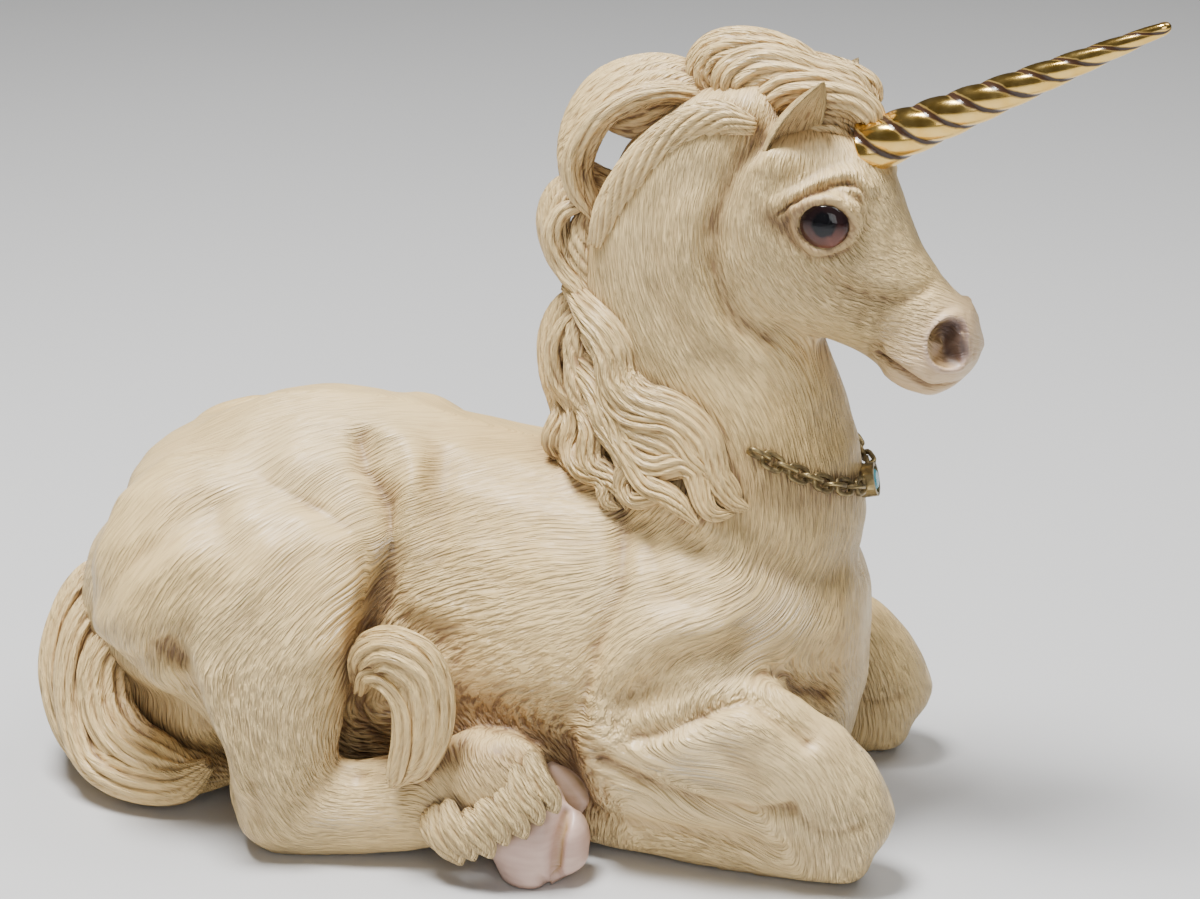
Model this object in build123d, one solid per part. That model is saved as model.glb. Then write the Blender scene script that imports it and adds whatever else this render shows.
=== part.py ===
"""Reclining unicorn figurine: cast sections, glass eyes, gilded horn, neck chain and a set stone.

Frame: +X points the way the animal looks, +Y to its left, +Z up. The origin lies on the flat
underside of the trunk, on the animal's middle plane. All lengths are in millimetres. Every cast
section is a faceted skin stretched over a smooth run of egg-shaped outlines, and a smaller section
is cut to the face of the larger one that it is bonded to.
"""
from build123d import *
from math import cos, pi, radians, sin
import os

# Trunk, from the rump to the chest
TRUNK_LENGTH = 228.0
RUMP_REACH = 128.0
CROUP_HEIGHT = 116.0
TRUNK_WIDTH = 96.0
RUMP_DOME = 7.0
CHEST_DOME = 12.0
# Each row: place along the trunk, half width, then top, middle and foot heights.
TRUNK_SHARES = (
    (0.026, 0.23, 0.62, 0.42, 0.15),
    (0.080, 0.345, 0.776, 0.45, 0.06),
    (0.158, 0.44, 0.897, 0.46, -0.03),
    (0.254, 0.49, 0.983, 0.46, -0.05),
    (0.351, 0.47, 1.0, 0.46, -0.05),
    (0.452, 0.46, 0.97, 0.45, -0.05),
    (0.561, 0.475, 0.922, 0.44, -0.05),
    (0.671, 0.515, 0.905, 0.47, -0.05),
    (0.781, 0.535, 0.89, 0.53, -0.05),
    (0.877, 0.455, 0.85, 0.53, 0.0),
    (0.947, 0.29, 0.73, 0.50, 0.12),
)

# Neck, from inside the shoulders to inside the head
NECK_PLACE_SHARE = 0.798
NECK_DEPTH = 80.0
NECK_WIDTH = 62.0
# Height of the poll, in shares of the croup's height.
POLL_HEIGHT_SHARE = 1.655
POLL_HEIGHT = POLL_HEIGHT_SHARE * CROUP_HEIGHT
# Each row: forward lean, sway to the right, height, half width and half depth.
NECK_SHARES = (
    (-0.06, 0.0, 0.35, 0.55, 0.50),
    (0.0, 0.0, 0.458, 0.57, 0.55),
    (0.012, 0.008, 0.583, 0.49, 0.50),
    (-0.025, 0.022, 0.698, 0.405, 0.425),
    (-0.062, 0.038, 0.818, 0.34, 0.388),
    (-0.012, 0.048, 0.927, 0.305, 0.338),
    (0.150, 0.058, 1.005, 0.275, 0.275),
    (0.275, 0.064, 1.036, 0.21, 0.21),
)

# Head, in its own frame: along the face from the poll, across to the left, out of the forehead
HEAD_LENGTH = 76.0
HEAD_DEPTH = 54.0
HEAD_WIDTH = 41.0
HEAD_PITCH = 43.0
HEAD_TURN = 10.0
HEAD_SWAY = 4.0
POLL_LEAD = 18.0
HEAD_BACK_DOME = 4.0
NOSE_DOME = 5.0
# Each row: place along the face, half width, forehead side and jaw side.
HEAD_SHARES = (
    (-0.080, 0.29, 0.150, -0.185),
    (0.0, 0.39, 0.260, -0.352),
    (0.105, 0.464, 0.350, -0.500),
    (0.237, 0.50, 0.400, -0.593),
    (0.368, 0.488, 0.343, -0.611),
    (0.500, 0.415, 0.250, -0.546),
    (0.632, 0.33, 0.196, -0.426),
    (0.763, 0.305, 0.178, -0.370),
    (0.868, 0.33, 0.176, -0.352),
    (0.947, 0.28, 0.100, -0.278),
)

# Eyes: a painted disc under a clear dome, in a round socket
EYE_DIAMETER = 13.0
EYE_BULGE = 3.4
EYE_RIM = 1.2
IRIS_THICKNESS = 0.8
EYE_FIT = 0.1
# Along the face, half way across and out of the middle, in shares of the head's length, width and depth.
EYE_PLACE_SHARES = (0.295, 0.43, 0.075)

# Ears
EAR_LENGTH = 22.0
EAR_WIDTH = 14.0
EAR_THICKNESS = 9.0
EAR_PLACE_SHARES = (0.0, 0.305, 0.12)
EAR_BACK_TILT = 12.0
EAR_OUT_TILT = 8.0
EAR_TURN = 35.0
EAR_SCOOP_SHIFT = 3.4
EAR_SCOOP_SHARE = 0.78
# Each row: height, half width and half thickness.
EAR_SHARES = (
    (0.0, 0.30, 0.42),
    (0.25, 0.46, 0.50),
    (0.5, 0.50, 0.46),
    (0.75, 0.36, 0.34),
    (1.0, 0.06, 0.10),
)

# Horn
HORN_LENGTH = 88.0
HORN_BASE_DIAMETER = 14.5
HORN_TIP_DIAMETER = 3.2
HORN_TURNS = 3.0
HORN_LOBES = 3
HORN_LOBE_SHARE = 0.11
HORN_RINGS = 30
HORN_LEAN = 20.0
HORN_PLACE_SHARES = (0.197, 0.0, 0.345)

# Hind legs, measured from the hip
HIP_PLACE_SHARE = 0.193
# Reach forward, out and up, in shares of the trunk's length, width and height.
HIND_LENGTH_SHARE = 0.456
HIND_SPREAD_SHARE = 0.583
HIND_HEIGHT_SHARE = 0.897
HIND_THICKNESS = 36.0
HOCK_DOME = 9.0
HIP_DOME = 5.0
# Each row: forward, outward and height, then half thickness, forward reach and back reach.
HAUNCH_SHARES = (
    (0.04, 0.36, 0.90, 0.34, 0.24, 0.22),
    (0.04, 0.58, 0.80, 0.44, 0.38, 0.33),
    (0.10, 0.75, 0.66, 0.50, 0.42, 0.37),
    (0.17, 0.89, 0.50, 0.47, 0.33, 0.25),
    (0.23, 0.96, 0.35, 0.415, 0.23, 0.14),
    (0.25, 1.0, 0.21, 0.36, 0.17, 0.11),
    (0.26, 1.0, 0.06, 0.305, 0.13, 0.10),
)
# Each row: forward, outward and height, then half thickness, reach above and reach below.
HIND_SHANK_SHARES = (
    (0.25, 1.0, 0.115, 0.305, 0.115, 0.125),
    (0.48, 0.965, 0.140, 0.285, 0.130, 0.140),
    (0.69, 0.93, 0.175, 0.28, 0.135, 0.140),
    (0.83, 0.93, 0.25, 0.30, 0.140, 0.130),
    (0.905, 0.93, 0.23, 0.275, 0.110, 0.110),
    (0.95, 0.945, 0.155, 0.25, 0.080, 0.080),
)

# Fore legs, measured from the point of the elbow
ELBOW_PLACE_SHARE = 0.71
FORE_LENGTH_SHARE = 0.4035
FORE_SPREAD_SHARE = 0.458
FORE_HEIGHT_SHARE = 0.793
FORE_THICKNESS = 30.0
ELBOW_DOME = 9.0
KNEE_DOME = 8.0
# Each row: forward, outward and height, then half thickness, reach above and reach below.
FOREARM_SHARES = (
    (0.0, 0.97, 0.37, 0.42, 0.22, 0.22),
    (0.24, 1.0, 0.39, 0.485, 0.23, 0.24),
    (0.48, 1.0, 0.35, 0.475, 0.25, 0.22),
    (0.67, 0.98, 0.24, 0.45, 0.20, 0.18),
    (0.75, 0.98, 0.175, 0.41, 0.145, 0.15),
)
FORE_SHANK_SHARES = (
    (0.72, 0.98, 0.10, 0.365, 0.10, 0.10),
    (0.40, 0.93, 0.087, 0.30, 0.092, 0.092),
    (0.11, 0.86, 0.098, 0.285, 0.092, 0.092),
    (-0.08, 0.82, 0.12, 0.30, 0.103, 0.103),
)

# Cloven hooves, in their own frame: down from the coronet
HIND_HOOF_LENGTH = 24.0
HIND_HOOF_WIDTH = 26.0
HIND_HOOF_DEPTH = 21.0
FORE_HOOF_SHARE = 0.78
HOOF_CLEFT = 1.4
HOOF_CLEFT_SHARE = 0.62
HOOF_SOLE_DOME = 3.0
HIND_HOOF_PLACE_SHARES = (0.918, 0.946, 0.202)
HIND_HOOF_TILT = (-13.0, -24.0, 0.0)
FORE_HOOF_PLACE_SHARES = (-0.076, 0.818, 0.141)
FORE_HOOF_TILT = (0.0, 139.0, 0.0)
FORE_HOOF_ROLL = 90.0
# Each row: height, half width and half depth.
HOOF_SHARES = (
    (0.0, 0.44, 0.48),
    (-0.30, 0.48, 0.52),
    (-0.65, 0.50, 0.52),
    (-0.92, 0.48, 0.47),
)

# Tail and the switch of hair that comes out in front of the thigh
DOCK_PLACE_SHARES = (0.026, 0.603)
TAIL_LENGTH = 100.0
TAIL_THICKNESS = 20.0
TAIL_RIBS = 7
TAIL_RIB_SHARE = 0.07
HAIR_TIP_DOME = 2.0
# Each row: forward, to the right and height, then half thickness and half breadth on either side.
TAIL_SHARES = (
    (0.0, 0.02, 0.0, 0.30, 0.06, 0.06),
    (-0.08, 0.04, -0.07, 0.40, 0.08, 0.08),
    (-0.125, 0.08, -0.24, 0.45, 0.11, 0.11),
    (-0.12, 0.14, -0.42, 0.45, 0.13, 0.13),
    (-0.03, 0.22, -0.56, 0.48, 0.14, 0.14),
    (0.14, 0.28, -0.61, 0.45, 0.14, 0.14),
    (0.32, 0.28, -0.62, 0.40, 0.11, 0.11),
    (0.44, 0.30, -0.63, 0.30, 0.07, 0.07),
)
# The switch is measured from the hip in a reach of its own, in shares of the trunk's sizes.
SWITCH_REACH_SHARES = (0.4386, 1.0417, 0.862)
SWITCH_SHARES = (
    (0.50, 0.46, 0.50, 0.25, 0.05, 0.05),
    (0.57, 0.53, 0.60, 0.32, 0.05, 0.05),
    (0.67, 0.585, 0.645, 0.38, 0.055, 0.055),
    (0.76, 0.61, 0.57, 0.40, 0.055, 0.055),
    (0.79, 0.63, 0.46, 0.38, 0.05, 0.05),
    (0.75, 0.64, 0.34, 0.30, 0.04, 0.04),
    (0.67, 0.64, 0.25, 0.12, 0.02, 0.02),
)

# Mane and forelock, measured from the middle of the poll in a reach that follows the neck
MANE_DEPTH_SHARE = 1.25
MANE_WIDTH_SHARE = 1.613
MANE_HEIGHT_SHARE = 0.521
MANE_THICKNESS = 20.0
MANE_LOOP_SHARES = (
    (-0.02, 0.03, 0.15, 0.35, 0.10, 0.09),
    (-0.14, 0.03, 0.18, 0.34, 0.11, 0.09),
    (-0.27, 0.02, 0.13, 0.32, 0.11, 0.09),
    (-0.355, 0.02, 0.02, 0.32, 0.11, 0.09),
    (-0.365, 0.02, -0.10, 0.30, 0.11, 0.09),
    (-0.31, 0.02, -0.20, 0.26, 0.09, 0.08),
)
UPPER_CURL_SHARES = (
    (-0.30, 0.02, -0.14, 0.28, 0.09, 0.08),
    (-0.38, 0.03, -0.20, 0.36, 0.11, 0.10),
    (-0.405, 0.04, -0.31, 0.40, 0.12, 0.11),
    (-0.36, 0.05, -0.42, 0.36, 0.12, 0.11),
    (-0.29, 0.07, -0.48, 0.28, 0.10, 0.09),
)
LOWER_CURL_SHARES = (
    (-0.31, 0.04, -0.42, 0.28, 0.09, 0.09),
    (-0.39, 0.05, -0.50, 0.36, 0.11, 0.12),
    (-0.405, 0.06, -0.64, 0.40, 0.12, 0.13),
    (-0.38, 0.07, -0.78, 0.36, 0.12, 0.13),
    (-0.31, 0.09, -0.88, 0.28, 0.09, 0.10),
)
FORELOCK_SHARES = (
    (-0.06, 0.03, 0.21, 0.25, 0.06, 0.06),
    (0.04, 0.03, 0.25, 0.40, 0.08, 0.08),
    (0.18, 0.04, 0.23, 0.45, 0.08, 0.08),
    (0.32, 0.06, 0.19, 0.45, 0.07, 0.07),
    (0.41, 0.08, 0.14, 0.40, 0.06, 0.06),
)
# Strands that fall over the right side of the neck, from the front one to the rear one
FALL_SHARES = (
    (
        (-0.34, 0.07, -0.40, 0.30, 0.05, 0.05),
        (-0.27, 0.13, -0.48, 0.38, 0.06, 0.06),
        (-0.20, 0.20, -0.56, 0.40, 0.06, 0.06),
        (-0.13, 0.27, -0.63, 0.40, 0.06, 0.06),
        (-0.05, 0.32, -0.68, 0.38, 0.06, 0.06),
        (0.03, 0.36, -0.74, 0.34, 0.05, 0.05),
        (0.09, 0.39, -0.83, 0.26, 0.04, 0.04),
        (0.13, 0.41, -0.92, 0.10, 0.02, 0.02),
    ),
    (
        (-0.38, 0.07, -0.56, 0.32, 0.05, 0.05),
        (-0.30, 0.14, -0.62, 0.38, 0.06, 0.06),
        (-0.21, 0.23, -0.70, 0.40, 0.06, 0.06),
        (-0.12, 0.31, -0.77, 0.38, 0.06, 0.06),
        (-0.03, 0.37, -0.81, 0.34, 0.05, 0.05),
        (0.05, 0.41, -0.87, 0.26, 0.04, 0.04),
        (0.10, 0.43, -0.93, 0.10, 0.02, 0.02),
    ),
    (
        (-0.39, 0.07, -0.66, 0.32, 0.05, 0.05),
        (-0.33, 0.16, -0.74, 0.38, 0.06, 0.06),
        (-0.26, 0.26, -0.82, 0.38, 0.06, 0.06),
        (-0.19, 0.34, -0.89, 0.32, 0.05, 0.05),
        (-0.11, 0.39, -0.93, 0.22, 0.04, 0.04),
        (-0.04, 0.41, -0.93, 0.10, 0.02, 0.02),
    ),
)

# Chain of flat-sided links, bonded to the neck along a slanting line
LINK_LENGTH = 7.2
LINK_WIDTH = 5.6
LINK_WIRE = 1.3
LINK_PITCH = 4.1
LINK_TILT = 45.0
LINK_LIFT = 2.1
CHAIN_FRONT_SHARES = (0.55, 0.526)
CHAIN_SLOPE = 30.0
CHAIN_RIGHT_LINKS = 11
CHAIN_LEFT_LINKS = 20
PATH_STEPS = 200

# Stone in its setting at the front of the chain
STONE_DIAMETER = 7.4
STONE_SIDES = 12
STONE_SINK = 1.2
# Each row: height and radius, from the culet to the table, in shares of the stone's diameter.
STONE_SHARES = (
    (-0.26, 0.07),
    (-0.02, 0.50),
    (0.02, 0.50),
    (0.20, 0.30),
)
SETTING_WALL = 1.0
SETTING_HEIGHT = 6.0
SETTING_TILT = 78.0
SETTING_LIFT = 1.7
SETTING_LINKS = 1

# Fineness of the faceted skins
BODY_POINTS = 20
LIMB_POINTS = 16
LOCK_POINTS = 10
DOME_ANGLES = (35.0, 65.0)

UP = Vector(0, 0, 1)
AHEAD = Vector(1, 0, 0)
LEFT = Vector(0, 1, 0)


def along_trunk(share):
    """Place on the x axis at a share of the trunk's length from the rump."""
    return share * TRUNK_LENGTH - RUMP_REACH


def on_head(shares, side=1):
    """Point of the head's own frame, in shares of its length, width and depth."""
    along, across, out = shares
    return Vector(along * HEAD_LENGTH, side * across * HEAD_WIDTH, out * HEAD_DEPTH)


def eased(rows, count):
    """Rows of a table joined by a smooth run, taken again at evenly spaced places."""
    last = len(rows) - 1
    eased_rows = []
    for step in range(count):
        place = step * last / (count - 1)
        index = min(int(place), last - 1)
        t = place - index
        near = [rows[min(max(index + shift, 0), last)] for shift in (-1, 0, 1, 2)]
        row = []
        for a, b, c, d in zip(*near):
            bend = (2 * a - 5 * b + 4 * c - d) * t**2 + (3 * b - a - 3 * c + d) * t**3
            row.append(b + ((c - a) * t + bend) / 2)
        eased_rows.append(row)
    return eased_rows


def outline(plane, count, half_width, rise, drop, ribs=0):
    """Egg-shaped ring of points on a plane, with its own reach above and below the centre."""
    ring = []
    for step in range(count):
        angle = 2 * pi * step / count
        swell = 1 + TAIL_RIB_SHARE * (cos(ribs * angle) - 1)
        lift = swell * sin(angle)
        height = lift * (rise if lift > 0 else drop)
        ring.append(plane.from_local_coords(Vector(swell * half_width * cos(angle), height, 0)))
    return ring


def cross_plane(centre, along, up):
    """Plane across a spine, with its local y axis as near to up as it can be."""
    return Plane(origin=centre, x_dir=up.cross(along), z_dir=along)


def spine_planes(centres, up):
    """Planes across a spine at each of its points, square to the run between its neighbours."""
    planes = []
    for index, centre in enumerate(centres):
        before = centres[max(index - 1, 0)]
        after = centres[min(index + 1, len(centres) - 1)]
        planes.append(cross_plane(centre, (after - before).normalized(), up))
    return planes


def skin(rings):
    """Solid with a faceted skin over rings of points, closed flat at both ends."""
    faces = [Face(Wire.make_polygon(rings[0][::-1])), Face(Wire.make_polygon(rings[-1]))]
    for lower, upper in zip(rings, rings[1:]):
        for index, a in enumerate(lower):
            following = (index + 1) % len(lower)
            b, c, d = lower[following], upper[following], upper[index]
            if (c - a).length < (d - b).length:
                corners = ((a, b, c), (a, c, d))
            else:
                corners = ((a, b, d), (b, c, d))
            faces += [Face(Wire.make_polygon(corner)) for corner in corners]
    return Solid(Shell(faces))


def swelling(planes, sizes, count, start_dome=0, end_dome=0, ribs=0):
    """Form skinned over egg-shaped outlines, with a rounded end where a dome is given."""
    rings = [outline(plane, count, *size, ribs) for plane, size in zip(planes, sizes)]
    for angle in DOME_ANGLES:
        shrink = cos(radians(angle))
        swell = sin(radians(angle))
        if start_dome:
            plane = planes[0].offset(-start_dome * swell)
            rings.insert(0, outline(plane, count, *(shrink * size for size in sizes[0]), ribs))
        if end_dome:
            plane = planes[-1].offset(end_dome * swell)
            rings.append(outline(plane, count, *(shrink * size for size in sizes[-1]), ribs))
    return skin(rings)


def spot(root, reach, shares):
    """Point at shares of a reach forward of a root, out to the right of it and above it."""
    ahead, out, height = shares
    return root + Vector(ahead * reach.X, -out * reach.Y, height * reach.Z)


def limb(rows, root, reach, thickness, up, stations, count, start_dome=0, end_dome=0, ribs=0):
    """Limb or lock of hair along a smooth spine; each row is in shares of the limb's own sizes."""
    centres, sizes = [], []
    for *place, half_width, rise, drop in eased(rows, stations):
        centres.append(spot(root, reach, place))
        sizes.append((half_width * thickness, rise * reach.X, drop * reach.X))
    return swelling(spine_planes(centres, up), sizes, count, start_dome, end_dome, ribs)


def disc(radius, height):
    """Many-sided disc standing on the local floor."""
    sizes = (radius, radius, radius)
    return swelling((Plane.XY, Plane.XY.offset(height)), (sizes, sizes), BODY_POINTS)


def biggest(shape):
    """The largest solid of a shape."""
    return max(shape.solids(), key=lambda solid: solid.volume)


def on_floor(shape):
    """The part of a form that stands above the floor, cut flat."""
    return biggest(split(shape, bisect_by=Plane.XY, keep=Keep.TOP))


def seated(shape, *neighbours):
    """A form with its neighbours cut out of it, so that it meets them face to face."""
    for neighbour in neighbours:
        shape = biggest(shape - neighbour)
    return shape


def mirrored(shape):
    """The same form on the left side."""
    return mirror(shape, about=Plane.XZ)


def trunk_form():
    """Barrel, croup and chest, with a flat underside."""
    planes, sizes = [], []
    for along, width, top, middle, foot in eased(TRUNK_SHARES, 15):
        centre = Vector(along_trunk(along), 0, middle * CROUP_HEIGHT)
        planes.append(cross_plane(centre, AHEAD, UP))
        rise = (top - middle) * CROUP_HEIGHT
        drop = (middle - foot) * CROUP_HEIGHT
        sizes.append((width * TRUNK_WIDTH, rise, drop))
    return on_floor(swelling(planes, sizes, BODY_POINTS, RUMP_DOME, CHEST_DOME))


def neck_form():
    """Neck from inside the shoulders to inside the head."""
    centres, sizes = [], []
    for lean, sway, height, width, depth in eased(NECK_SHARES, 12):
        place = along_trunk(NECK_PLACE_SHARE) + lean * NECK_DEPTH
        centres.append(Vector(place, -sway * NECK_WIDTH, height * POLL_HEIGHT))
        sizes.append((width * NECK_WIDTH, depth * NECK_DEPTH, depth * NECK_DEPTH))
    return swelling(spine_planes(centres, -AHEAD), sizes, BODY_POINTS)


def head_form():
    """Skull, jowls and muzzle, in the head's own frame."""
    planes, sizes = [], []
    for along, width, forehead, jaw in eased(HEAD_SHARES, 14):
        centre = Vector(along * HEAD_LENGTH, 0, (forehead + jaw) / 2 * HEAD_DEPTH)
        planes.append(cross_plane(centre, AHEAD, UP))
        reach = (forehead - jaw) / 2 * HEAD_DEPTH
        sizes.append((width * HEAD_WIDTH, reach, reach))
    return swelling(planes, sizes, BODY_POINTS, HEAD_BACK_DOME, NOSE_DOME)


def ear_form():
    """Leaf-shaped ear standing on its root, scooped out on its open side."""
    planes, sizes = [], []
    for height, width, thickness in eased(EAR_SHARES, 7):
        planes.append(Plane(origin=(0, 0, height * EAR_LENGTH), x_dir=LEFT, z_dir=UP))
        sizes.append((width * EAR_WIDTH, thickness * EAR_THICKNESS, thickness * EAR_THICKNESS))
    leaf = swelling(planes, sizes, LOCK_POINTS)
    rise = (1 - EAR_SCOOP_SHARE) * EAR_LENGTH / 2
    scoop = Location((EAR_SCOOP_SHIFT, 0, rise)) * leaf.scale(EAR_SCOOP_SHARE)
    return biggest(leaf - scoop)


def horn_form():
    """Tapered horn of twisted lobes, standing on its root."""
    count = HORN_LOBES * 4
    rings = []
    for step in range(HORN_RINGS):
        share = step / (HORN_RINGS - 1)
        radius = (HORN_BASE_DIAMETER + (HORN_TIP_DIAMETER - HORN_BASE_DIAMETER) * share) / 2
        twist = 2 * pi * HORN_TURNS * share
        ring = []
        for point in range(count):
            angle = 2 * pi * point / count
            reach = radius * (1 + HORN_LOBE_SHARE * (cos(HORN_LOBES * angle) - 1))
            ring.append(Vector(reach * cos(angle + twist), reach * sin(angle + twist), share * HORN_LENGTH))
        rings.append(ring)
    return skin(rings)


def hoof_form():
    """Cloven hoof hanging from its coronet, slit from the sole upwards."""
    planes, sizes = [], []
    for height, width, depth in eased(HOOF_SHARES, 5):
        planes.append(Plane(origin=(0, 0, height * HIND_HOOF_LENGTH), x_dir=AHEAD, z_dir=-UP))
        sizes.append((width * HIND_HOOF_WIDTH, depth * HIND_HOOF_DEPTH, depth * HIND_HOOF_DEPTH))
    hoof = swelling(planes, sizes, LIMB_POINTS, 0, HOOF_SOLE_DOME)
    cleft_height = HIND_HOOF_LENGTH * HOOF_CLEFT_SHARE
    cleft = Box(HOOF_CLEFT, HIND_HOOF_DEPTH * 2, cleft_height * 2)
    return biggest(hoof - Location((0, 0, -HIND_HOOF_LENGTH - HOOF_SOLE_DOME)) * cleft)


def lock(rows, up, stations):
    """Lock of the mane, measured from the middle of the poll."""
    root = Vector(along_trunk(NECK_PLACE_SHARE), 0, POLL_HEIGHT)
    reach = Vector(
        MANE_DEPTH_SHARE * NECK_DEPTH, MANE_WIDTH_SHARE * NECK_WIDTH, MANE_HEIGHT_SHARE * POLL_HEIGHT
    )
    return limb(rows, root, reach, MANE_THICKNESS, up, stations, LOCK_POINTS, HAIR_TIP_DOME, HAIR_TIP_DOME)


def leg_reach(length, spread, height):
    """Reach of a leg forward, out and up, from shares of the trunk's sizes."""
    return Vector(length * TRUNK_LENGTH, spread * TRUNK_WIDTH, height * CROUP_HEIGHT)


def hip_point():
    """Middle of the hips on the floor."""
    return Vector(along_trunk(HIP_PLACE_SHARE), 0, 0)


def right_limbs(trunk):
    """Legs and hooves of the right side, each cut to the sections that it is bonded to."""
    reach = leg_reach(HIND_LENGTH_SHARE, HIND_SPREAD_SHARE, HIND_HEIGHT_SHARE)
    hind = (hip_point(), reach, HIND_THICKNESS)
    haunch = seated(on_floor(limb(HAUNCH_SHARES, *hind, AHEAD, 11, LIMB_POINTS, HIP_DOME)), trunk)
    hind_shank = on_floor(limb(HIND_SHANK_SHARES, *hind, UP, 11, LIMB_POINTS, HOCK_DOME))
    hind_shank = seated(hind_shank, trunk, haunch)
    coronet = Location(spot(hip_point(), reach, HIND_HOOF_PLACE_SHARES), HIND_HOOF_TILT)
    hind_hoof = seated(on_floor(coronet * hoof_form()), hind_shank)

    elbow = Vector(along_trunk(ELBOW_PLACE_SHARE), 0, 0)
    reach = leg_reach(FORE_LENGTH_SHARE, FORE_SPREAD_SHARE, FORE_HEIGHT_SHARE)
    fore = (elbow, reach, FORE_THICKNESS)
    forearm = on_floor(limb(FOREARM_SHARES, *fore, UP, 9, LIMB_POINTS, ELBOW_DOME, KNEE_DOME))
    forearm = seated(forearm, trunk)
    fore_shank = on_floor(limb(FORE_SHANK_SHARES, *fore, UP, 7, LIMB_POINTS, KNEE_DOME))
    fore_shank = seated(fore_shank, trunk, forearm)
    coronet = Location(spot(elbow, reach, FORE_HOOF_PLACE_SHARES), FORE_HOOF_TILT)
    fore_hoof = coronet * Rotation(0, 0, FORE_HOOF_ROLL) * hoof_form().scale(FORE_HOOF_SHARE)
    fore_hoof = seated(on_floor(fore_hoof), trunk, forearm, fore_shank, hind_shank, hind_hoof)
    return {
        "haunch": haunch,
        "hind_shank": hind_shank,
        "hind_hoof": hind_hoof,
        "forearm": forearm,
        "fore_shank": fore_shank,
        "fore_hoof": fore_hoof,
    }


def eye_pieces(side):
    """Socket cutter, clear dome and painted disc of one eye, in the head's own frame."""
    seat = Location(on_head(EYE_PLACE_SHARES, side), (-side * 90, 0, 0))
    radius = EYE_DIAMETER / 2
    bottom = Plane.XY.offset(IRIS_THICKNESS)
    rim = bottom.offset(EYE_RIM)
    glass = swelling((bottom, rim), [(radius, radius, radius)] * 2, BODY_POINTS, 0, EYE_BULGE)
    iris = disc(radius, IRIS_THICKNESS)
    socket = disc(radius + EYE_FIT, HEAD_WIDTH)
    return seat * socket, seat * glass, seat * iris


def face_pieces(poll, head, neck):
    """Head with its sockets, the eyes in them, the ears and the horn."""
    pieces = {}
    for name, side in (("right", -1), ("left", 1)):
        socket, glass, iris = eye_pieces(side)
        head = biggest(head - poll * socket)
        pieces[name + "_eye_glass"] = biggest(poll * glass)
        pieces[name + "_eye_iris"] = biggest(poll * iris)
        stand = Location(on_head(EAR_PLACE_SHARES, side), (-side * EAR_OUT_TILT, -EAR_BACK_TILT, 0))
        ear = poll * stand * Rotation(0, 0, side * EAR_TURN) * ear_form()
        pieces[name + "_ear"] = seated(ear, head, neck)
    seat = Location(on_head(HORN_PLACE_SHARES), (0, HORN_LEAN, 0))
    pieces["horn"] = seated(poll * seat * horn_form(), head)
    pieces["head"] = head
    return pieces


def hair_pieces(pieces):
    """Tail, switch, mane and forelock, each cut to what it lies against."""
    trunk, neck, head = pieces["trunk"], pieces["neck"], pieces["head"]
    haunch, shank = pieces["right_haunch"], pieces["right_hind_shank"]
    along, height = DOCK_PLACE_SHARES
    dock = Vector(along_trunk(along), 0, height * CROUP_HEIGHT)
    reach = Vector(TAIL_LENGTH, TAIL_LENGTH, TAIL_LENGTH)
    tail = (TAIL_SHARES, dock, reach, TAIL_THICKNESS, LEFT, 13, 4 * TAIL_RIBS, 0, HAIR_TIP_DOME, TAIL_RIBS)
    tail = limb(*tail)
    reach = leg_reach(*SWITCH_REACH_SHARES)
    switch = limb(SWITCH_SHARES, hip_point(), reach, TAIL_THICKNESS, LEFT, 11, LOCK_POINTS, 0, HAIR_TIP_DOME)
    forelock = lock(FORELOCK_SHARES, LEFT, 9)
    forelock = seated(forelock, head, neck, pieces["horn"], pieces["right_ear"], pieces["left_ear"])
    loop = seated(lock(MANE_LOOP_SHARES, LEFT, 10), neck, head, forelock)
    upper_curl = seated(lock(UPPER_CURL_SHARES, LEFT, 8), neck, loop)
    lower_curl = seated(lock(LOWER_CURL_SHARES, LEFT, 8), neck, trunk, upper_curl)
    hair = {
        "tail": seated(on_floor(tail), trunk, haunch, shank),
        "tail_switch": seated(switch, trunk, haunch, shank),
        "forelock": forelock,
        "mane_loop": loop,
        "mane_upper_curl": upper_curl,
        "mane_lower_curl": lower_curl,
    }
    beneath = [neck, trunk, loop, upper_curl, lower_curl]
    for name, rows in zip(("front", "middle", "rear"), FALL_SHARES):
        strand = seated(lock(rows, -LEFT, 10), *beneath)
        hair["mane_fall_" + name] = strand
        beneath.append(strand)
    return hair


def link_form():
    """Flat-sided oval chain link lying on its side, long in x."""
    link = Box(LINK_LENGTH, LINK_WIDTH, LINK_WIRE)
    link = chamfer(link.edges().filter_by(Axis.Z), LINK_WIRE)
    eye = Box(LINK_LENGTH - 2 * LINK_WIRE, LINK_WIDTH - 2 * LINK_WIRE, LINK_WIRE)
    return biggest(link - eye)


def stone_form():
    """Faceted stone with its girdle at the local origin and its table facing up."""
    rings = []
    for height, radius in STONE_SHARES:
        plane = Plane.XY.offset(height * STONE_DIAMETER)
        rings.append(outline(plane, STONE_SIDES, *[radius * STONE_DIAMETER] * 3))
    return skin(rings)


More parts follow.
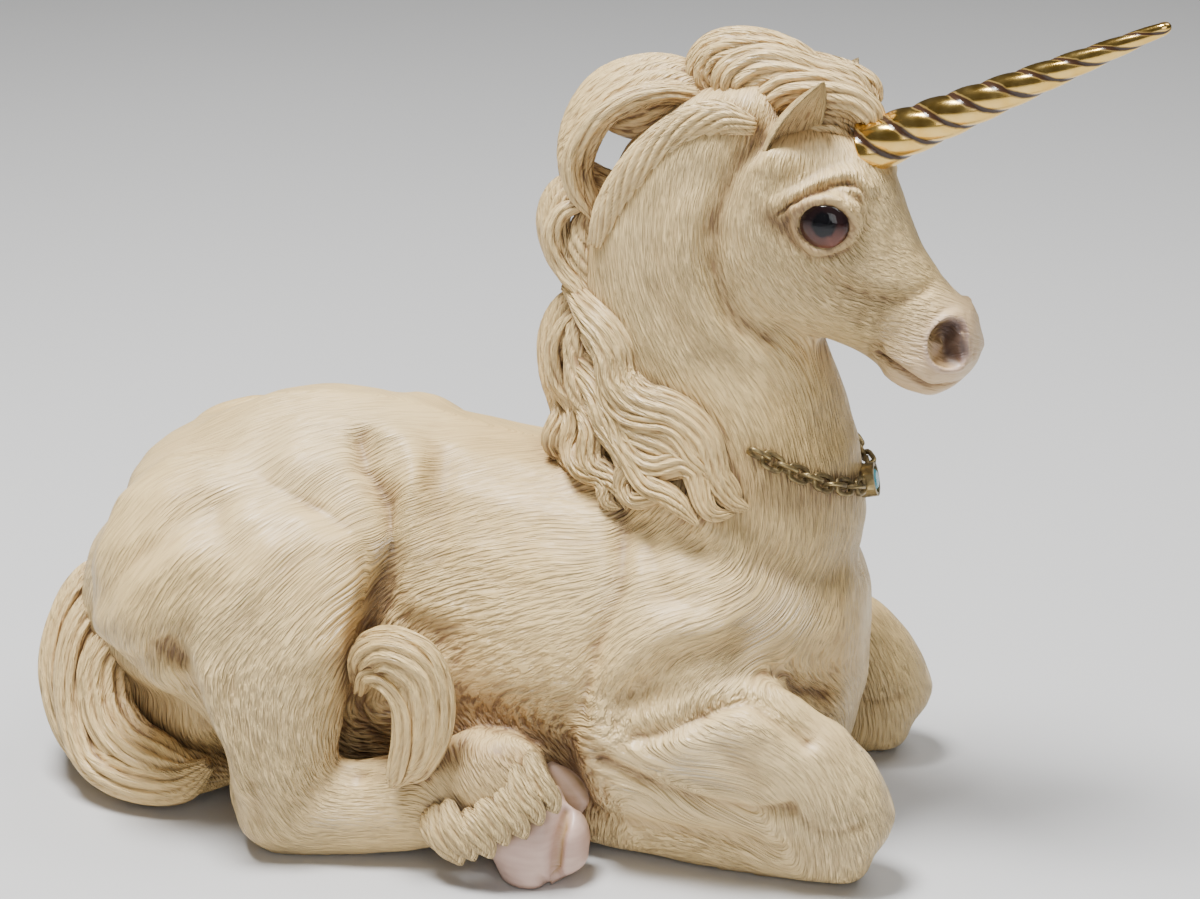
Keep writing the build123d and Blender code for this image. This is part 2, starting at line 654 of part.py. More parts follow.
def necklace_pieces(neck, trunk):
    """Chain links, the setting at their front and the stone in it, seated on the neck."""
    slant = Vector(sin(radians(CHAIN_SLOPE)), 0, cos(radians(CHAIN_SLOPE)))
    lead, height = CHAIN_FRONT_SHARES
    throat = Vector(along_trunk(NECK_PLACE_SHARE) + lead * NECK_DEPTH, 0, height * POLL_HEIGHT)
    round_neck = neck_form().intersect(Plane(origin=throat, x_dir=LEFT, z_dir=slant))[0]
    path = round_neck.outer_wire().offset_2d(LINK_LIFT)
    length = path.length
    places = [step / PATH_STEPS for step in range(PATH_STEPS)]
    front = max(places, key=lambda share: path.position_at(share).X)
    heading = 1 if path.tangent_at(front).Y > 0 else -1
    rim = Location(path.position_at(front), (0, SETTING_TILT, 0)) * Location((0, 0, SETTING_LIFT))
    stone = rim * Location((0, 0, -STONE_SINK)) * stone_form()
    cup = disc(STONE_DIAMETER / 2 + SETTING_WALL, SETTING_HEIGHT)
    cup = rim * Location((0, 0, -SETTING_HEIGHT)) * cup
    mouth = rim * Location((0, 0, -STONE_SINK)) * disc(STONE_DIAMETER / 2, SETTING_HEIGHT)
    setting = seated(cup, mouth, stone, neck, trunk)
    links = {"chain_even_links": [], "chain_odd_links": []}
    for index in range(-CHAIN_RIGHT_LINKS, CHAIN_LEFT_LINKS + 1):
        if abs(index) <= SETTING_LINKS:
            continue
        place = front + heading * index * LINK_PITCH / length
        before = path.position_at((place - LINK_PITCH / length / 2) % 1)
        after = path.position_at((place + LINK_PITCH / length / 2) % 1)
        along = (after - before).normalized() * heading
        outward = along.cross(slant)
        centre = (before + after) / 2
        tilt = LINK_TILT if index % 2 else -LINK_TILT
        place_link = Plane(origin=centre, x_dir=along, z_dir=outward).location * Rotation(tilt, 0, 0)
        node = "chain_odd_links" if index % 2 else "chain_even_links"
        links[node].append(seated(place_link * link_form(), neck, trunk, setting))
    chain = {name: Compound(children=solids) for name, solids in links.items()}
    return {"stone_setting": setting, "stone": stone, **chain}


def main():
    os.makedirs("parts", exist_ok=True)
    trunk = trunk_form()
    place = (along_trunk(NECK_PLACE_SHARE) + POLL_LEAD, -HEAD_SWAY, POLL_HEIGHT)
    poll = Location(place) * Rotation(0, 0, -HEAD_TURN) * Rotation(0, HEAD_PITCH, 0)
    head = poll * head_form()
    neck = seated(neck_form(), trunk, head)
    pieces = {"trunk": trunk, "neck": neck}
    pieces.update(face_pieces(poll, head, neck))
    for name, solid in right_limbs(trunk).items():
        pieces["right_" + name] = solid
        pieces["left_" + name] = mirrored(solid)
    pieces.update(hair_pieces(pieces))
    pieces.update(necklace_pieces(neck, trunk))
    for name, solid in pieces.items():
        export_step(solid, f"parts/{name}.step")


main()
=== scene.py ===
"""Reclining unicorn figurine: sculpted casting, locks of hair, paint and a plain studio."""

import logging
import math
from collections.abc import Callable, Sequence
from dataclasses import dataclass, field, replace
from enum import Enum

import bmesh
import bpy
import numpy as np
from mathutils import Matrix, Vector, noise
from mathutils.bvhtree import BVHTree


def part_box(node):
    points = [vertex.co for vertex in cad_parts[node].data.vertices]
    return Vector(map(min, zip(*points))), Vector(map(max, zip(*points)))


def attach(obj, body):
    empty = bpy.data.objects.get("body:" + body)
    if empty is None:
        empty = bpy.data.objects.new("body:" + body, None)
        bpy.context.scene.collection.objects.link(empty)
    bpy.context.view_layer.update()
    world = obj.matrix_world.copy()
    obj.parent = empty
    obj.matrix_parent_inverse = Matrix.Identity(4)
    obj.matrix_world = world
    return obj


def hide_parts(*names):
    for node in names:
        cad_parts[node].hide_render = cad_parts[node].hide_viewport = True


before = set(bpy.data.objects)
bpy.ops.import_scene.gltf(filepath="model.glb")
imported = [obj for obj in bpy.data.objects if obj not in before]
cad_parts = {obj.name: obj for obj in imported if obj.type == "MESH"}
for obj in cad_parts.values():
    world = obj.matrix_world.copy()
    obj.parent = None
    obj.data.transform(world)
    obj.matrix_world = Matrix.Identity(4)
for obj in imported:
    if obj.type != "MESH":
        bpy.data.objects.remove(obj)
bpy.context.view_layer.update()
LOG = logging.getLogger("unicorn")

MM = 0.001
Spot = tuple[float, float]
Place = tuple[float, float, float]


class Side(Enum):
    """The animal's own sides, by the sign of Y."""

    RIGHT = -1
    LEFT = 1

    @property
    def word(self) -> str:
        """The side as node names say it."""
        return self.name.lower()


# Shared tools


def finished(form: bmesh.types.BMesh, name: str) -> bpy.types.Mesh:
    """Writes a form to a new mesh of that name and frees the form."""
    mesh = bpy.data.meshes.new(name)
    form.to_mesh(mesh)
    form.free()
    return mesh


def node_copy(*names: str) -> bmesh.types.BMesh:
    """Copies CAD nodes into one mesh, each with its doubled points merged.

    Args:
        names: CAD node names.

    Returns:
        A new mesh in metres, in the CAD frame.
    """
    joined = bmesh.new()
    for name in names:
        single = bmesh.new()
        single.from_mesh(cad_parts[name].data)
        bmesh.ops.remove_doubles(single, verts=single.verts, dist=1e-6)
        bmesh.ops.recalc_face_normals(single, faces=single.faces)
        held = finished(single, "held")
        joined.from_mesh(held)
        bpy.data.meshes.remove(held)
    return joined


def add_lump(clay: bmesh.types.BMesh, centre: Place, radii: Place, pitch: float = 0.0) -> None:
    """Presses an egg of clay onto both sides of the animal.

    Args:
        clay: mesh that takes the lumps.
        centre: middle of the right-hand lump, in millimetres.
        radii: half sizes ahead, across and up, in millimetres.
        pitch: nose-down turn in degrees.
    """
    for side in Side:
        spot = Vector((centre[0], centre[1] * -side.value, centre[2])) * MM
        turn = Matrix.Rotation(math.radians(pitch), 4, "Y")
        stretch = Matrix.Diagonal((*[size * MM for size in radii], 1.0))
        bmesh.ops.create_icosphere(
            clay, subdivisions=3, radius=1.0, matrix=Matrix.Translation(spot) @ turn @ stretch
        )


def remeshed(clay: bmesh.types.BMesh, cell: float, name: str) -> bpy.types.Mesh:
    """Fuses overlapping lumps into one even skin.

    Args:
        clay: closed lumps, freed here.
        cell: size of the new faces in millimetres.
        name: name of the new mesh.

    Returns:
        The fused mesh.
    """
    rough = finished(clay, "rough")
    holder = bpy.data.objects.new("rough", rough)
    bpy.context.scene.collection.objects.link(holder)
    fuse = holder.modifiers.new("Fuse", "REMESH")
    fuse.mode = "VOXEL"
    fuse.voxel_size = cell * MM
    graph = bpy.context.evaluated_depsgraph_get()
    fused = bpy.data.meshes.new_from_object(holder.evaluated_get(graph))
    fused.name = name
    bpy.data.objects.remove(holder)
    bpy.data.meshes.remove(rough)
    return fused


def eased(points: Sequence[Sequence[float]], steps: int) -> np.ndarray:
    """Runs a smooth curve through a few points.

    Args:
        points: points of any dimension.
        steps: number of points wanted.

    Returns:
        An array of that many points.
    """
    rows = np.array(points, dtype=float)
    padded = np.vstack([2 * rows[0] - rows[1], rows, 2 * rows[-1] - rows[-2]])
    spots = np.linspace(0, len(rows) - 1, steps)
    spans = np.minimum(spots.astype(int), len(rows) - 2)
    part = (spots - spans)[:, None]
    before, start, end, after = (padded[spans + i] for i in range(4))
    bend = 2 * before - 5 * start + 4 * end - after
    twist = 3 * start - before - 3 * end + after
    return start + 0.5 * part * (end - before + part * (bend + part * twist))


def show(
    name: str, mesh: bpy.types.Mesh, finish: bpy.types.Material, slot: str, *nodes: str
) -> bpy.types.Object:
    """Puts a finished mesh in the scene in place of CAD nodes.

    Args:
        name: name of the piece.
        mesh: mesh in metres in the CAD frame.
        finish: its material.
        slot: material slot name, not used.
        nodes: CAD nodes it stands for.

    Returns:
        The new object.
    """
    mesh.name = name
    mesh.materials.clear()
    mesh.materials.append(finish)
    piece = bpy.data.objects.new(name, mesh)
    bpy.context.scene.collection.objects.link(piece)
    mesh.polygons.foreach_set("use_smooth", [True] * len(mesh.polygons))
    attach(piece, "root")
    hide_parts(*nodes)
    LOG.info("%s: %d faces", name, len(mesh.polygons))
    return piece


def write_values(mesh: bpy.types.Mesh, name: str, values: np.ndarray) -> None:
    """Stores one number for each point of a mesh under a name."""
    layer = mesh.attributes.get(name) or mesh.attributes.new(name, "FLOAT", "POINT")
    layer.data.foreach_set("value", values.astype(np.float32))


# Sculpted skins


@dataclass(frozen=True)
class FlatView:
    """A flat view of one form, so that a stroke drawn in it marks both flanks.

    Attributes:
        origin: where the view's zero is, in millimetres.
        ahead: first direction of the view.
        up: second direction of the view.
    """

    origin: Vector
    ahead: Vector
    up: Vector

    @property
    def across(self) -> Vector:
        """Direction in which the view looks."""
        return self.up.cross(self.ahead)

    def flat(self, points: np.ndarray) -> np.ndarray:
        """Places of points in the view."""
        shifted = points - np.array(self.origin)
        return np.stack([shifted @ np.array(self.ahead), shifted @ np.array(self.up)], axis=1)

    def depth(self, points: np.ndarray) -> np.ndarray:
        """Distances of points to the side of the middle plane, left side positive."""
        return (points - np.array(self.origin)) @ np.array(self.across)


SIDE_VIEW = FlatView(Vector((0, 0, 0)), Vector((1, 0, 0)), Vector((0, 0, 1)))


class Skin:
    """A sculpted surface kept as arrays, in millimetres."""

    GROUND = 0.4
    SMOOTHING = (0.6, -0.62)
    SOFTENING = 0.5

    def __init__(self, mesh: bpy.types.Mesh) -> None:
        """Reads the mesh's points and edges."""
        self.mesh = mesh
        spots = np.empty(len(mesh.vertices) * 3, dtype=np.float32)
        mesh.vertices.foreach_get("co", spots)
        self.points = spots.reshape(-1, 3).astype(float) / MM
        ends = np.empty(len(mesh.edges) * 2, dtype=np.int32)
        mesh.edges.foreach_get("vertices", ends)
        self.ends = ends.reshape(-1, 2)
        count = len(self.points)
        self.links = np.bincount(self.ends.ravel(), minlength=count).astype(float)
        self.grounded = self.points[:, 2] < self.GROUND
        self.normals = np.zeros_like(self.points)
        self.settle()

    def settle(self) -> None:
        """Writes the points back to the mesh and reads its normals."""
        self.points[:, 2] = np.maximum(self.points[:, 2], 0.0)
        self.points[self.grounded, 2] = 0.0
        self.mesh.vertices.foreach_set("co", (self.points * MM).astype(np.float32).ravel())
        self.mesh.update()
        normals = np.empty(len(self.points) * 3, dtype=np.float32)
        self.mesh.vertex_normals.foreach_get("vector", normals)
        self.normals = normals.reshape(-1, 3).astype(float)

    def spread(self, values: np.ndarray) -> np.ndarray:
        """Sum of the neighbours' values at each point."""
        first, second = self.ends.T
        count = len(self.points)
        there = np.bincount(first, values[second], count)
        return there + np.bincount(second, values[first], count)

    def mean(self, values: np.ndarray) -> np.ndarray:
        """Mean of the neighbours' values at each point."""
        if values.ndim == 1:
            return self.spread(values) / self.links
        return np.stack([self.spread(column) / self.links for column in values.T], axis=1)

    def hollows(self) -> np.ndarray:
        """How far each point lies below its neighbours, in millimetres."""
        return ((self.mean(self.points) - self.points) * self.normals).sum(axis=1)

    def smooth(self, rounds: int) -> None:
        """Evens the surface out without shrinking it."""
        for _ in range(rounds):
            for share in self.SMOOTHING:
                self.points += share * (self.mean(self.points) - self.points)
        self.settle()

    def soften(self, rounds: int) -> None:
        """Evens the surface out, rounding its edges off."""
        for _ in range(rounds):
            self.points += self.SOFTENING * (self.mean(self.points) - self.points)
        self.settle()

    def near(self, view: FlatView, line: Sequence[Spot], width: float) -> np.ndarray:
        """How close each point is to a stroke drawn in a flat view.

        Args:
            view: the flat view.
            line: a few places along the stroke, in millimetres.
            width: half width of the stroke in millimetres.

        Returns:
            One on the stroke, falling to nought away from it.
        """
        spots = view.flat(self.points)
        path = eased(line, max(2, 8 * len(line))) if len(line) > 1 else np.array(line, dtype=float)
        closest = np.full(len(spots), np.inf)
        for spot in path:
            closest = np.minimum(closest, ((spots - spot) ** 2).sum(axis=1))
        level = np.exp(-closest / width**2)
        facing = np.clip(np.abs(self.normals @ np.array(view.across)) * 2 - 0.2, 0, 1)
        return level * facing

    def press(self, view: FlatView, line: Sequence[Spot], width: float, height: float) -> None:
        """Raises a stroke, or cuts it where the height is negative."""
        self.points += self.normals * (height * self.near(view, line, width))[:, None]
        self.settle()

    def ripple(self, wave: float, height: float) -> None:
        """Gives the surface the slight unevenness of hand work."""
        lift = np.array([noise.noise(Vector(spot) / wave) for spot in self.points])
        lift = np.where(self.grounded, 0, lift)
        self.points += self.normals * (height * lift)[:, None]
        self.settle()

    def solve(self, slopes: np.ndarray, rounds: int) -> np.ndarray:
        """Finds heights over the surface that rise as asked along each edge.

        Args:
            slopes: wanted direction and steepness at each point.
            rounds: number of improving rounds.

        Returns:
            One height for each point.
        """
        first, second = self.ends.T
        count = len(self.points)
        rise = ((slopes[first] + slopes[second]) / 2 * (self.points[second] - self.points[first])).sum(axis=1)
        wanted = np.bincount(second, rise, count) - np.bincount(first, rise, count)
        heights = self.points @ slopes.mean(axis=0)
        left = wanted - (self.links * heights - self.spread(heights))
        scaled = left / self.links
        way = scaled.copy()
        size = left @ scaled
        for _ in range(rounds):
            bent = self.links * way - self.spread(way)
            step = size / max(way @ bent, 1e-12)
            heights += step * way
            left -= step * bent
            scaled = left / self.links
            fresh = left @ scaled
            way = scaled + fresh / max(size, 1e-12) * way
            size = fresh
        return heights

    def comb(self, view: FlatView, guides: Sequence[tuple[float, float, float, float]], reach: float) -> None:
        """Stores the way the hair lies as a length along it and a length across it.

        Args:
            view: flat view the guides are drawn in.
            guides: place and direction of the hair at a few spots.
            reach: how far a guide is felt, in millimetres.
        """
        spots = view.flat(self.points)
        lie = np.zeros_like(self.points)
        for ahead, up, along, rise in guides:
            weight = np.exp(-((spots - (ahead, up)) ** 2).sum(axis=1) / reach**2) + 1e-9
            way = np.array(view.ahead) * along + np.array(view.up) * rise
            lie += weight[:, None] * way / np.linalg.norm(way)
        lie -= (lie * self.normals).sum(axis=1)[:, None] * self.normals
        lie /= np.maximum(np.linalg.norm(lie, axis=1), 1e-9)[:, None]
        side = np.cross(self.normals, lie) * -np.sign(self.normals[:, 1])[:, None]
        layer = self.mesh.attributes.new("lie", "FLOAT_VECTOR", "POINT")
        rounds = 260
        rows = np.stack([self.solve(lie, rounds), self.solve(side, rounds), np.zeros(len(lie))], axis=1)
        layer.data.foreach_set("vector", rows.astype(np.float32).ravel())


def shade_recesses(meshes: Sequence[bpy.types.Mesh], reach: float = 22.0) -> None:
    """Stores at each point how shut in it is, for painted shade and brown wash in recesses and for the darker
    brass in the chain's hollows.

    Args:
        meshes: meshes that stand close to each other.
        reach: how far other surfaces are felt, in millimetres.
    """
    whole = bmesh.new()
    for mesh in meshes:
        whole.from_mesh(mesh)
    tree = BVHTree.FromBMesh(whole)
    whole.free()
    golden = math.pi * (3 - math.sqrt(5))
    count = 9
    fan = []
    for step in range(count):
        rise = math.sqrt(1 - (step + 0.5) / count)
        wide = math.sqrt(1 - rise * rise)
        fan.append(Vector((wide * math.cos(golden * step), wide * math.sin(golden * step), rise)))
    for mesh in meshes:
        shut = np.zeros(len(mesh.vertices))
        normals = mesh.vertex_normals
        for index, vertex in enumerate(mesh.vertices):
            out = normals[index].vector
            turn = out.to_track_quat("Z", "Y").to_matrix()
            start = vertex.co + out * 0.6 * MM
            # Ray-cast occlusion, which is used as painted shade in the wash.
            hits = sum(tree.ray_cast(start, turn @ way, reach * MM)[0] is not None for way in fan)
            shut[index] = hits / count
        ends = np.empty(len(mesh.edges) * 2, dtype=np.int32)
        mesh.edges.foreach_get("vertices", ends)
        first, second = ends.reshape(-1, 2).T
        links = np.maximum(np.bincount(ends, minlength=len(shut)), 1)
        for _ in range(3):
            near = np.bincount(first, shut[second], len(shut)) + np.bincount(second, shut[first], len(shut))
            shut = 0.5 * shut + 0.5 * near / links
        write_values(mesh, "shut", shut)


# Finishes

Colour = tuple[float, float, float]


class Wiring:
    """Adds shader nodes to a tree and joins them."""

    def __init__(self, tree: bpy.types.NodeTree) -> None:
        """Takes the tree to work in."""
        self.tree = tree

    def add(self, kind: str, **settings: object) -> bpy.types.Node:
        """Adds a node and sets its options."""
        node = self.tree.nodes.new(kind)
        for name, value in settings.items():
            setattr(node, name, value)
        return node

    def feed(self, socket: bpy.types.NodeSocket, value: object) -> None:
        """Joins an output to a socket, or sets the socket to a constant."""
        if isinstance(value, bpy.types.NodeSocket):
            self.tree.links.new(value, socket)
        elif isinstance(value, tuple) and len(value) == 3 and socket.type == "RGBA":
            socket.default_value = (*value, 1.0)
        else:
            socket.default_value = value

    def value(self, name: str) -> bpy.types.NodeSocket:
        """A number stored on the mesh."""
        return self.add("ShaderNodeAttribute", attribute_name=name).outputs["Fac"]

    def place(self, name: str = "") -> bpy.types.NodeSocket:
        """A stored direction or place, or the object's own coordinates."""
        if name:
            return self.add("ShaderNodeAttribute", attribute_name=name).outputs["Vector"]
        return self.add("ShaderNodeTexCoord").outputs["Object"]

    def maths(self, operation: str, first: object, second: object) -> bpy.types.NodeSocket:
        """One step of arithmetic."""
        node = self.add("ShaderNodeMath", operation=operation)
        for socket, value in zip(node.inputs, (first, second)):
            self.feed(socket, value)
        return node.outputs[0]

    def scaled(self, vector: bpy.types.NodeSocket, by: Place) -> bpy.types.NodeSocket:
        """A vector multiplied on each axis."""
        node = self.add("ShaderNodeVectorMath", operation="MULTIPLY")
        self.feed(node.inputs[0], vector)
        node.inputs[1].default_value = by
        return node.outputs[0]

    def grain(self, vector: bpy.types.NodeSocket, scale: float, detail: float = 2.0) -> bpy.types.NodeSocket:
        """A cloudy pattern between nought and one."""
        node = self.add("ShaderNodeTexNoise")
        self.feed(node.inputs["Vector"], vector)
        node.inputs["Scale"].default_value = scale
        node.inputs["Detail"].default_value = detail
        return node.outputs["Fac"]

    def between(
        self, value: object, low: float, high: float, start: float = 0.0, end: float = 1.0
    ) -> bpy.types.NodeSocket:
        """A value spread from one range to another and held within it."""
        node = self.add("ShaderNodeMapRange")
        for name, number in (("From Min", low), ("From Max", high), ("To Min", start), ("To Max", end)):
            node.inputs[name].default_value = number
        self.feed(node.inputs["Value"], value)
        return node.outputs["Result"]

    def mix(self, share: object, first: object, second: object) -> bpy.types.NodeSocket:
        """Two colours mixed."""
        node = self.add("ShaderNodeMix", data_type="RGBA")
        self.feed(node.inputs["Factor"], share)
        self.feed(node.inputs[6], first)
        self.feed(node.inputs[7], second)
        return node.outputs[2]

    def bump(self, height: object, distance: float) -> bpy.types.NodeSocket:
        """A normal bent by a height."""
        node = self.add("ShaderNodeBump")
        node.inputs["Distance"].default_value = distance
        node.inputs["Strength"].default_value = 1.0
        self.feed(node.inputs["Height"], height)
        return node.outputs["Normal"]


def new_group(name: str, inputs: Sequence[tuple[str, str]], outputs: Sequence[tuple[str, str]]) -> Wiring:
    """Starts a shader node group.

    Args:
        name: name of the group.
        inputs: names and socket kinds of its inputs.
        outputs: names and socket kinds of its outputs.

    Returns:
        Wiring inside the group, with its input and output nodes made.
    """
    tree = bpy.data.node_groups.new(name, "ShaderNodeTree")
    for in_out, sockets in (("INPUT", inputs), ("OUTPUT", outputs)):
        for title, kind in sockets:
            tree.interface.new_socket(title, in_out=in_out, socket_type=kind)
    return Wiring(tree)


def stroke_group() -> bpy.types.NodeTree:
    """Engraved hair strokes that follow the stored lie of the hair.

    Returns:
        A group with the strokes' height and the share of each spot that is cut away.
    """
    wires = new_group(
        "Hair strokes",
        [("Fineness", "NodeSocketFloat")],
        [("Height", "NodeSocketFloat"), ("Cut", "NodeSocketFloat")],
    )
    given = wires.add("NodeGroupInput")
    out = wires.add("NodeGroupOutput")
    lie = wires.place("lie")
    sway = wires.grain(wires.scaled(lie, (0.05, 0.05, 0.0)), 1.0, 1.0)
    bent = wires.add("ShaderNodeVectorMath", operation="ADD")
    wires.feed(bent.inputs[0], wires.scaled(lie, (0.21, 1.55, 0.0)))
    shift = wires.add("ShaderNodeCombineXYZ")
    wires.feed(shift.inputs["Y"], wires.maths("MULTIPLY", sway, 2.2))
    wires.feed(bent.inputs[1], shift.outputs[0])
    sized = wires.add("ShaderNodeVectorMath", operation="SCALE")
    wires.feed(sized.inputs[0], bent.outputs[0])
    wires.feed(sized.inputs["Scale"], given.outputs["Fineness"])
    coarse = wires.grain(sized.outputs[0], 1.0, 2.0)
    ridge = wires.between(coarse, 0.34, 0.62)
    wires.feed(out.inputs["Height"], ridge)
    wires.feed(out.inputs["Cut"], wires.between(coarse, 0.50, 0.34))
    return wires.tree


def wash_and_shade_group() -> bpy.types.NodeTree:
    """Brown wash and painted shade that gather in recesses, cuts and dips.

    Returns:
        A group that turns a clean colour into a washed and shaded one.
    """
    # Node group of brown wash and painted shade.
    wires = new_group(
        "Gathered wash",
        [
            ("Clean", "NodeSocketColor"),
            ("Thin", "NodeSocketColor"),
            ("Thick", "NodeSocketColor"),
            ("Cut", "NodeSocketFloat"),
        ],
        [("Colour", "NodeSocketColor"), ("Share", "NodeSocketFloat")],
    )
    given = wires.add("NodeGroupInput")
    out = wires.add("NodeGroupOutput")
    shut = wires.value("shut")
    cloud = wires.between(wires.grain(wires.place(), 38.0, 3.0), 0.3, 0.7, 0.55, 1.1)
    # Painted shade mixed with real brown wash: darker in the strokes' cuts, where the surface is shut in, in
    # its dips and in the listed tan patches.
    cuts = wires.maths("MULTIPLY", given.outputs["Cut"], wires.between(shut, 0.05, 0.5, 0.38, 0.85))
    low = wires.maths("MULTIPLY", wires.between(shut, 0.26, 0.95), cloud)
    dips = wires.maths("MULTIPLY", wires.value("dip"), 0.8)
    tan_and_shade = wires.maths("MULTIPLY", wires.value("tan_and_shade"), cloud)
    share = wires.maths("ADD", wires.maths("ADD", cuts, low), wires.maths("ADD", dips, tan_and_shade))
    held = wires.between(share, 0.0, 1.0)
    thin = wires.mix(held, given.outputs["Clean"], given.outputs["Thin"])
    deep = wires.between(share, 0.75, 1.6, 0.0, 0.85)
    wires.feed(out.inputs["Colour"], wires.mix(deep, thin, given.outputs["Thick"]))
    wires.feed(out.inputs["Share"], held)
    return wires.tree


@dataclass
class Paints:
    """Every finish of the figurine, made once and shared by its pieces."""

    strokes: bpy.types.NodeTree = field(default_factory=stroke_group)
    wash: bpy.types.NodeTree = field(default_factory=wash_and_shade_group)

    # Brown wash colours, which also paint the shade in grooves, creases and shut-in places.
    THIN_WASH, THICK_WASH = (0.42, 0.265, 0.115), (0.16, 0.085, 0.04)
    IVORY = (0.80, 0.565, 0.245), (0.87, 0.65, 0.325)
    FLESH = (0.52, 0.36, 0.30)
    # Near-black painted shade for the nostril hole; it also darkens the lids' inner edge.
    NOSTRIL = (0.06, 0.03, 0.025)
    HOOF = (0.60, 0.40, 0.33), (0.70, 0.50, 0.42)
    GOLD = (0.80, 0.50, 0.12), (0.90, 0.62, 0.20)
    GROOVE_DARK = (0.045, 0.022, 0.012)
    BRASS = (0.085, 0.058, 0.026), (0.47, 0.36, 0.17)
    PLUM = (0.030, 0.012, 0.014), (0.24, 0.080, 0.055)
    PUPIL, EYE_RIM = (0.004, 0.004, 0.007), (0.010, 0.006, 0.008)
    CLEAR = (0.98, 0.98, 0.98), (0.94, 0.95, 0.96)
    AQUA = (0.22, 0.66, 0.74), (0.10, 0.46, 0.58)
    PAPER = (0.60, 0.60, 0.60), (0.64, 0.64, 0.64)

    def start(self, name: str) -> tuple[bpy.types.Material, Wiring, bpy.types.Node]:
        """A new material with its wiring and main shader."""
        material = bpy.data.materials.new(name)
        material.use_nodes = True
        wires = Wiring(material.node_tree)
        return material, wires, material.node_tree.nodes["Principled BSDF"]

    def washed_and_shaded(self, wires: Wiring, clean: object, cut: object) -> bpy.types.Node:
        """Adds the brown wash and the painted shade over a clean colour."""
        group = wires.add("ShaderNodeGroup", node_tree=self.wash)
        wires.feed(group.inputs["Clean"], clean)
        wires.feed(group.inputs["Thin"], self.THIN_WASH)
        wires.feed(group.inputs["Thick"], self.THICK_WASH)
        wires.feed(group.inputs["Cut"], cut)
        return group

    def ivory(self, name: str, fineness: float, depth: float) -> bpy.types.Material:
        """Satin ivory paint over engraved hair, with brown wash and painted shade in its grooves and
        recesses.

        Args:
            name: name of the material.
            fineness: how fine the strokes are, one on the body.
            depth: depth of the strokes in millimetres.

        Returns:
            The material.
        """
        material, wires, shader = self.start(name)
        strokes = wires.add("ShaderNodeGroup", node_tree=self.strokes)
        strokes.inputs["Fineness"].default_value = fineness
        cloud = wires.grain(wires.place(), 14.0, 3.0)
        clean = wires.mix(wires.between(cloud, 0.35, 0.65), *self.IVORY)
        flesh = wires.mix(wires.value("pink"), clean, self.FLESH)
        # Brown wash and painted shade in the strokes' cuts and the skin's recesses.
        group = self.washed_and_shaded(wires, flesh, strokes.outputs["Cut"])
        # Near-black painted shade in the nostril; the lids' inner edge darkened.
        shaded = wires.mix(wires.value("dark"), group.outputs["Colour"], self.NOSTRIL)
        wires.feed(shader.inputs["Base Color"], shaded)
        wires.feed(shader.inputs["Roughness"], wires.between(group.outputs["Share"], 0.0, 1.0, 0.38, 0.55))
        shader.inputs["Coat Weight"].default_value = 0.12
        shader.inputs["Coat Roughness"].default_value = 0.35
        bald = wires.maths("SUBTRACT", 1.0, wires.value("bald"))
        patch = wires.between(wires.grain(wires.place(), 24.0, 1.0), 0.38, 0.62, 0.45, 1.0)
        height = wires.maths("MULTIPLY", strokes.outputs["Height"], wires.maths("MULTIPLY", bald, patch))
        wires.feed(shader.inputs["Normal"], wires.bump(height, depth * MM))
        return material

    def hoof(self) -> bpy.types.Material:
        """Glossy flesh pink with faint growth rings, darkened by painted shade in its hollows and where it is
        shut in.
        """
        material, wires, shader = self.start("hoof_pink")
        rings = wires.grain(wires.scaled(wires.place(), (90.0, 90.0, 420.0)), 1.0, 2.0)
        clean = wires.mix(wires.between(rings, 0.3, 0.7), *self.HOOF)
        group = self.washed_and_shaded(wires, clean, 0.0)
        wires.feed(shader.inputs["Base Color"], group.outputs["Colour"])
        wires.feed(shader.inputs["Roughness"], wires.between(rings, 0.2, 0.8, 0.30, 0.42))
        wires.feed(shader.inputs["Normal"], wires.bump(rings, 0.12 * MM))
        return material

    def gold(self) -> bpy.types.Material:
        """Bright gilding, dark brown and unmetallic in the twist's grooves."""
        material, wires, shader = self.start("gilding")
        groove = wires.value("dip")
        speck = wires.grain(wires.place(), 260.0, 2.0)
        ragged = wires.maths("ADD", groove, wires.between(speck, 0.2, 0.8, -0.16, 0.16))
        # Darker, unmetallic brown in the twist's grooves.
        groove_dark = wires.between(ragged, 0.50, 0.74)
        bright = wires.mix(wires.between(speck, 0.3, 0.7), *self.GOLD)
        wires.feed(shader.inputs["Base Color"], wires.mix(groove_dark, bright, self.GROOVE_DARK))
        wires.feed(shader.inputs["Metallic"], wires.between(groove_dark, 0.0, 1.0, 1.0, 0.0))
        wires.feed(shader.inputs["Roughness"], wires.between(speck, 0.3, 0.7, 0.13, 0.22))
        wires.feed(shader.inputs["Normal"], wires.bump(speck, 0.05 * MM))
        return material

    def brass(self, name: str) -> bpy.types.Material:
        """Antique brass, dark in its hollows."""
        material, wires, shader = self.start(name)
        blotch = wires.grain(wires.place(), 420.0, 3.0)
        bare = wires.between(wires.value("shut"), 0.2, 0.8, 1.0, 0.25)
        worn = wires.maths("MULTIPLY", wires.between(blotch, 0.3, 0.65), bare)
        wires.feed(shader.inputs["Base Color"], wires.mix(worn, *self.BRASS))
        wires.feed(shader.inputs["Metallic"], wires.between(worn, 0.0, 1.0, 0.55, 1.0))
        wires.feed(shader.inputs["Roughness"], wires.between(worn, 0.0, 1.0, 0.55, 0.30))
        wires.feed(shader.inputs["Normal"], wires.bump(blotch, 0.08 * MM))
        return material

